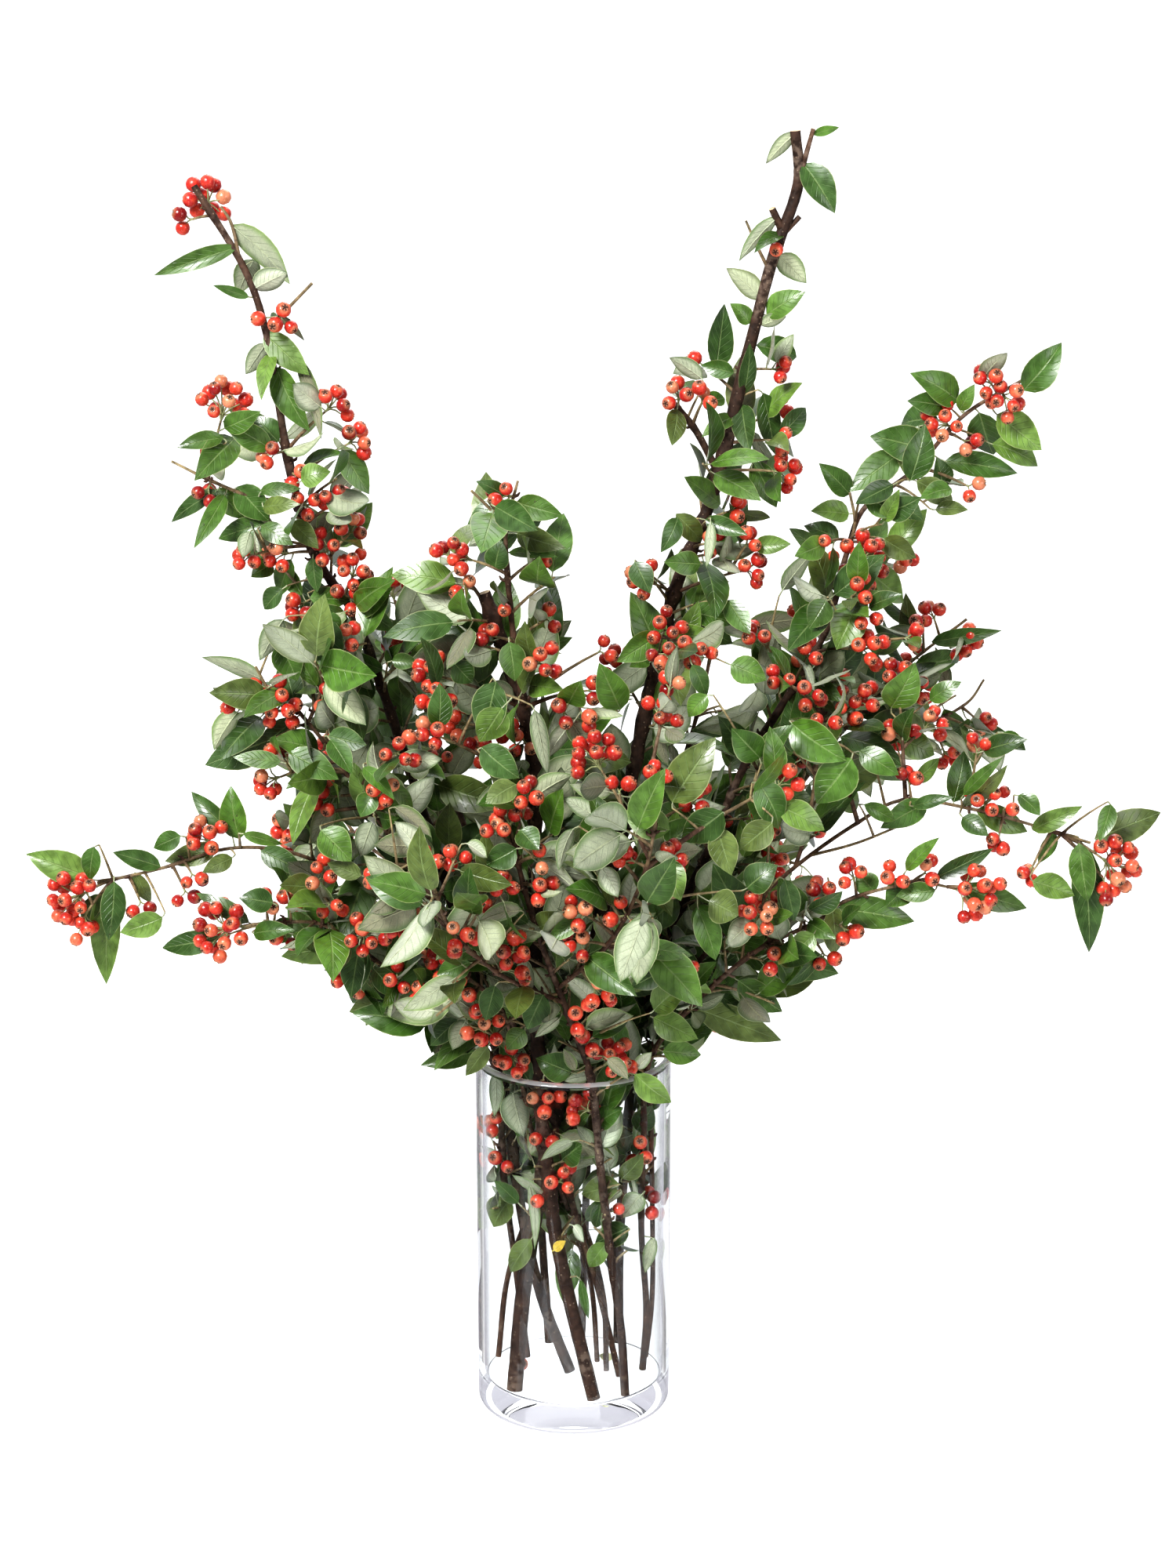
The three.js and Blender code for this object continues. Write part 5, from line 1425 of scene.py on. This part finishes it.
    def shoot_leaves(self, shoot):
        line, radii, tones = self.twig(shoot["place"], shoot["end"], TWIG_RADIUS, 0.55)
        grown = shoot.get("grown", 0)
        for leaf in shoot["leaves"]:
            along = np.linalg.norm(leaf["root"] - shoot["place"])
            at = float(along / np.linalg.norm(shoot["end"] - shoot["place"])) * (len(line) - 1)
            i = min(int(at), len(line) - 2)
            leaf["root"] = lerp(line[i], line[i + 1], at - i)
            grown += self.leaf_by_rule(leaf)
        if grown:
            self.twigs.append((line, radii, tones))

    def build(self, looks):
        """The stem's three pieces: wood, leaves and berries."""
        wood, leaves, fruits = Soup(), Soup(), Soup()
        for route, thick, nodes in zip(self.routes, self.thicks, self.nodes):
            add_wood(wood, route, thick, nodes, 10 if thick[0] > 3 else 8)
            spurs = spurs_of(route, thick, nodes, self.index + 1)
            if spurs:
                tones = np.tile(lerp(BARK_TONE, BROWN_TONE, 0.6), (len(spurs), 3, 1))
                add_tubes(wood, spurs, np.tile(SPUR_RADII, (len(spurs), 1)), 6, tones)
        lines, radii, tones = (np.array([twig[k] for twig in self.twigs]) for k in range(3))
        add_tubes(wood, lines, radii, 6, tones)
        add_leaves(leaves, self.leaves)
        add_berries(fruits, *zip(*self.fruits))
        a, b, c = (np.array([row[k] for row in self.pedicels]) for k in range(3))
        stalks = bezier(a, b, c, (0.0, 0.35, 0.7, 1.0))
        thick = np.tile(np.linspace(1.15, 0.85, 4) * PEDICEL_RADIUS, (len(stalks), 1))
        shade = np.tile(np.array(STALK_TONE), (len(stalks), 4, 1))
        add_tubes(fruits, stalks, thick, 4, shade, slot=2)
        for soup, kind, slot, used in (
                (wood, "wood", "bark", ("bark", "cut")),
                (leaves, "leaves", "foliage", ("upper", "lower", "stalk")),
                (fruits, "berries", "berry", ("skin", "calyx", "stalk"))):
            piece = soup.object(f"branch_{self.name}_{kind}", [looks[key] for key in used])
            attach(piece, "root")
            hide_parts(f"branch_{self.name}")


LEAF_BALL = 1.25
BERRY_BALL = 3.9
BERRY_PITCH = 7.7
LEAF_LIMIT = 1.15
BERRY_LIMIT = 0.5
HAND_BERRY_LIMIT = 1.6
ALWAYS = 1e9
ROOMY = 0.3
TRIES = 9
HAND_WIDTH = 1.08
BENDS = tuple((0, bend) for bend in (0, -6, 6, -12, 12, -20))
DEEP_BENDS = tuple((shift, bend) for shift in (0, 7, -7, 15, 24, 36, 50) for bend in (0, -8, 8))
LOOSE = np.array((1.12, 1.12, 1.3))
LONE_STALK = 7.5
LONG_STALK = 9.0
SHORT_TWIG = 12.0
FORKED_TWIG = 20.0
TWIG_POINTS = 6
PUSHES = 8
SPUR_RADII = (0.95, 0.8, 0.4)
SPRAY_LEAVES = 2
SPRAY_LENGTH = (17, 29)
SPRAY_PROPORTION = (0.46, 0.58)
FINE_PITCH = 0.8
FINE_END = 425
FRUIT_FROM = 12.0
FINE_FRUIT = 0.3
LOOSE_ROLL = 1.25
FINE_REACHES = (9, 24)
FINE_LENGTHS = (17, 31)


def arc(x, z, radius, start, end, steps):
    """Points of a round corner about x, z, angles in degrees."""
    angles = np.radians(np.linspace(start, end, steps))
    return [(x + radius * math.cos(a), z + radius * math.sin(a)) for a in angles]


def vase_piece(looks):
    """Straight clear cylinder: thick slightly hollow base, round lower edge, softly beaded rim."""
    corner, fillet, bead, sides = 4.0, 3.0, 0.6, 128
    rim = VASE_HEIGHT - VASE_WALL / 2
    middle = (VASE_RADIUS + INNER_RADIUS) / 2
    profile = [(18.0, 0.9), (34.0, 0.5), (42.0, 0.1), (45.5, 0.0)]
    profile += arc(VASE_RADIUS - corner, corner, corner, -90, 0, 8)
    profile += [(VASE_RADIUS, z) for z in (12.0, 60.0, 120.0, 180.0, VASE_HEIGHT - VASE_WALL)]
    profile += [(VASE_RADIUS + bead * 0.7, rim - 0.8), (VASE_RADIUS + bead, rim)]
    profile += arc(middle, rim, VASE_WALL / 2, 40, 180, 7)
    profile += [(INNER_RADIUS, z) for z in (180.0, 120.0, 60.0, VASE_FLOOR + fillet + 4)]
    profile += arc(INNER_RADIUS - fillet, VASE_FLOOR + fillet, fillet, 0, -90, 6)
    profile += [(36.0, VASE_FLOOR - 0.1), (18.0, VASE_FLOOR)]
    profile = np.array(profile)
    angles = 2 * math.pi * np.arange(sides) / sides
    level = [np.outer(profile[:, 0], way) for way in (np.cos(angles), np.sin(angles))]
    rings = np.stack((*level, np.repeat(profile[:, 1:], sides, axis=1)), axis=-1)
    points = np.concatenate(([(0.0, 0.0, 1.0), (0.0, 0.0, VASE_FLOOR)], rings.reshape(-1, 3)))
    base, walls, floor = capped_rings(len(profile), sides)
    soup = Soup()
    upright = (np.abs(np.diff(profile[:, 0])) < 0.01).repeat(sides)
    # The faces on top of the rim bead get the partly opaque rim glass, a pale line painted in for the
    # bright reflection along the rim
    top = (np.minimum(profile[1:, 1], profile[:-1, 1]) > rim - 0.1).repeat(sides)
    faces = [(walls[~upright & ~top], 0), (walls[upright], 1), (walls[top], 2), (base, 0), (floor, 0)]
    soup.add(points, faces, np.ones(points.shape), np.zeros(points.shape), np.zeros(len(points)))
    piece = soup.object("vase_glass", (looks["glass"], looks["wall"], looks["rim"]))
    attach(piece, "root")
    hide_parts("vase")


# Scraps of leaf as base, tip, width and tone: one on the vase's floor, a yellow one on a stem.
SCRAPS = [
  ((21.5, 11.0, 15.9), (14.0, 14.5, 16.6), 5.5, SCRAP_TONE),
  ((-10.4, -38.0, 101.5), (-4.0, -39.5, 107.5), 5.5, YELLOW_TONE),
]


def fallen(looks):
    """The berry and the scraps of leaf that have come off in the vase."""
    soup = Soup()
    add_berries(soup, [(-29.0, -2.0, VASE_FLOOR + 3.9)], [unit(np.array((0.5, -0.6, 0.35)))], [3.9],
                [BERRY_TONES[2]], [77.5])
    berry = soup.object("fallen_berry", (looks["skin"], looks["calyx"]))
    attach(berry, "root")
    scraps = Soup()
    leaves = []
    for i, (base, tip, width, tone) in enumerate(SCRAPS):
        base, tip = np.array(base), np.array(tip)
        leaf = dress({"root": base - unit(tip - base) * 1.2, "base": base, "tip": tip, "width": width,
                      "up": unit(UP * 0.8 + FRONT), "key": 88.0 + i}, 0.0)
        leaf["tone"] = leaf["under"] = np.array(tone)
        leaves.append(leaf)
    add_leaves(scraps, leaves)
    piece = scraps.object("leaf_scraps", (looks["upper"], looks["lower"], looks["stalk"]))
    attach(piece, "root")


def stage():
    """Pale floor that curves up into a backdrop, so that no edge shows."""
    half, front, back, bend, top = 6.0, -4.0, 3.0, 1.2, 5.0
    profile = [(front, 0.0), (0.0, 0.0), (back - bend, 0.0)]
    for a in np.linspace(0.1, math.pi / 2, 14):
        profile.append((back - bend + bend * math.sin(a), bend - bend * math.cos(a)))
    profile.append((back, top))
    points = [(x, y, z) for y, z in profile for x in (-half, half)]
    faces = [(2 * i, 2 * i + 1, 2 * i + 3, 2 * i + 2) for i in range(len(profile) - 1)]
    mesh = bpy.data.meshes.new("floor")
    mesh.from_pydata(points, [], faces)
    mesh.shade_smooth()
    mesh.materials.append(floor_material())
    floor = bpy.data.objects.new("floor", mesh)
    bpy.context.scene.collection.objects.link(floor)
    floor.visible_glossy = False


def softbox(name, place, aim, size, power):
    data = bpy.data.lights.new(name, "AREA")
    data.shape, data.size, data.energy = "SQUARE", size, power
    lamp = bpy.data.objects.new(name, data)
    lamp.location = place
    heading = np.array(aim, float) - np.array(place, float)
    lamp.rotation_euler = mathutils.Vector(heading).to_track_quat("-Z", "Y").to_euler()
    bpy.context.scene.collection.objects.link(lamp)


SKY_STRENGTH = 0.66
EYE_TILT = 14


def sky():
    """World light: bright overhead, behind and straight below, dim in front, for the glass to mirror."""
    world = bpy.data.worlds.new("studio")
    world.use_nodes = True
    tree = world.node_tree

    def add(kind, *values, **settings):
        node = tree.nodes.new(kind)
        for key, value in settings.items():
            setattr(node, key, value)
        for i, value in enumerate(values):
            if isinstance(value, bpy.types.NodeSocket):
                tree.links.new(value, node.inputs[i])
            else:
                node.inputs[i].default_value = value
        return node

    def step(value, *span):
        return add("ShaderNodeMapRange", value, *span, interpolation_type="SMOOTHSTEP").outputs[0]

    def calc(operation, *values):
        return add("ShaderNodeMath", *values, operation=operation).outputs[0]

    parts = add("ShaderNodeSeparateXYZ", add("ShaderNodeTexCoord").outputs["Generated"]).outputs
    above = step(calc("MULTIPLY_ADD", parts["Z"], 0.9, parts["Y"]), 0.05, 0.85, 0.22, 1.0)
    below = step(parts["Z"], -0.55, -0.85, 0.0, 1.05)
    behind = step(parts["Y"], 0.6, 0.95, 0.0, 1.16)
    share = calc("MAXIMUM", calc("MAXIMUM", above, below), behind)
    background = tree.nodes["Background"]
    background.inputs["Color"].default_value = (0.93, 0.915, 1.0, 1.0)
    tree.links.new(calc("MULTIPLY", share, SKY_STRENGTH), background.inputs["Strength"])
    bpy.context.scene.world = world


def lights():
    middle = (0.0, 0.0, 0.4)
    softbox("key", (-1.1, -1.9, 2.1), middle, 0.9, 118.0)
    softbox("fill", (1.9, -1.7, 1.0), middle, 1.2, 18.0)
    softbox("back", (0.3, 1.6, 2.2), middle, 1.6, 30.0)
    bpy.context.scene.view_settings.view_transform = "Standard"
    bpy.context.scene.view_settings.look = "Medium High Contrast"


def camera():
    """The eye of the photograph, looking level ahead and 14 degrees down."""
    data = bpy.data.cameras.new("camera")
    data.lens, data.sensor_width = 67.6, 36.0
    data.clip_start, data.clip_end = 0.05, 50.0
    eye = bpy.data.objects.new("camera", data)
    eye.location = EYE * MM
    eye.rotation_euler = (math.radians(90 - EYE_TILT), 0.0, 0.0)
    bpy.context.scene.collection.objects.link(eye)
    bpy.context.scene.camera = eye


looks = {
    "upper": leaf_material(),
    "lower": underside_material(),
    "stalk": stalk_material(),
    "bark": bark_material(),
    "cut": cut_wood_material(),
    "skin": berry_material(),
    "calyx": calyx_material(),
    "glass": glass_material("clear_glass"),
    "wall": glass_material("glass_wall", (0.55, 0.9)),
    # Partly opaque rim glass: a painted highlight standing in for the rim's reflected bright line
    "rim": glass_material("glass_rim_painted_highlight", None, 0.72),
}
camera()
sky()
lights()
stage()
vase_piece(looks)
fallen(looks)

space = Space()
plants = [Plant(index, stem, space) for index, stem in enumerate(STEMS)]
curves = [route.curve for plant in plants for route in plant.routes]
wood_map = np.concatenate([np.column_stack((in_picture(curve), curve[:, 1])) for curve in curves])


def plant_near(point):
    return min(plants, key=lambda plant: plant.nearest(point)[0])


def grow_all():
    """Everything that grows, what the photograph shows first, and then by rule where there is room."""
    for plant in plants:
        plant.bunches_by_hand()
    for i, (x, z, count) in enumerate(MORE_BUNCHES):
        depth = front_depth(x, z, wood_map) * (1.0 if count > 0 else 0.4)
        middle = seen(x, z, depth)
        plant_near(middle).bunch_at(middle, abs(count), 3000 + i)
    for plant in plants:
        plant.leaves_by_hand()
    for i, row in enumerate(MORE_LEAVES):
        depth = front_depth((row[0] + row[2]) / 2, (row[1] + row[3]) / 2, wood_map)
        plant_near(seen(row[0], row[1], depth)).leaf_by_hand(row, 9000 + i, depth)
    for i, row in enumerate(RIM_LEAVES):
        plant_near(seen(row[0], row[1], RIM_DEPTH)).leaf_by_hand(row, 9500 + i, RIM_DEPTH)
    for plant in plants:
        plant.leaf_sprays()
    lists = [(plant, plant.ruled_shoots()) for plant in plants]
    in_turn = [(plant, shoots[n]) for n in range(max(len(shoots) for _, shoots in lists))
               for plant, shoots in lists if n < len(shoots)]
    for plant, shoot in in_turn:
        plant.shoot_bunch(shoot)
    for plant, shoot in in_turn:
        plant.shoot_leaves(shoot)


grow_all()
for plant in plants:
    plant.build(looks)
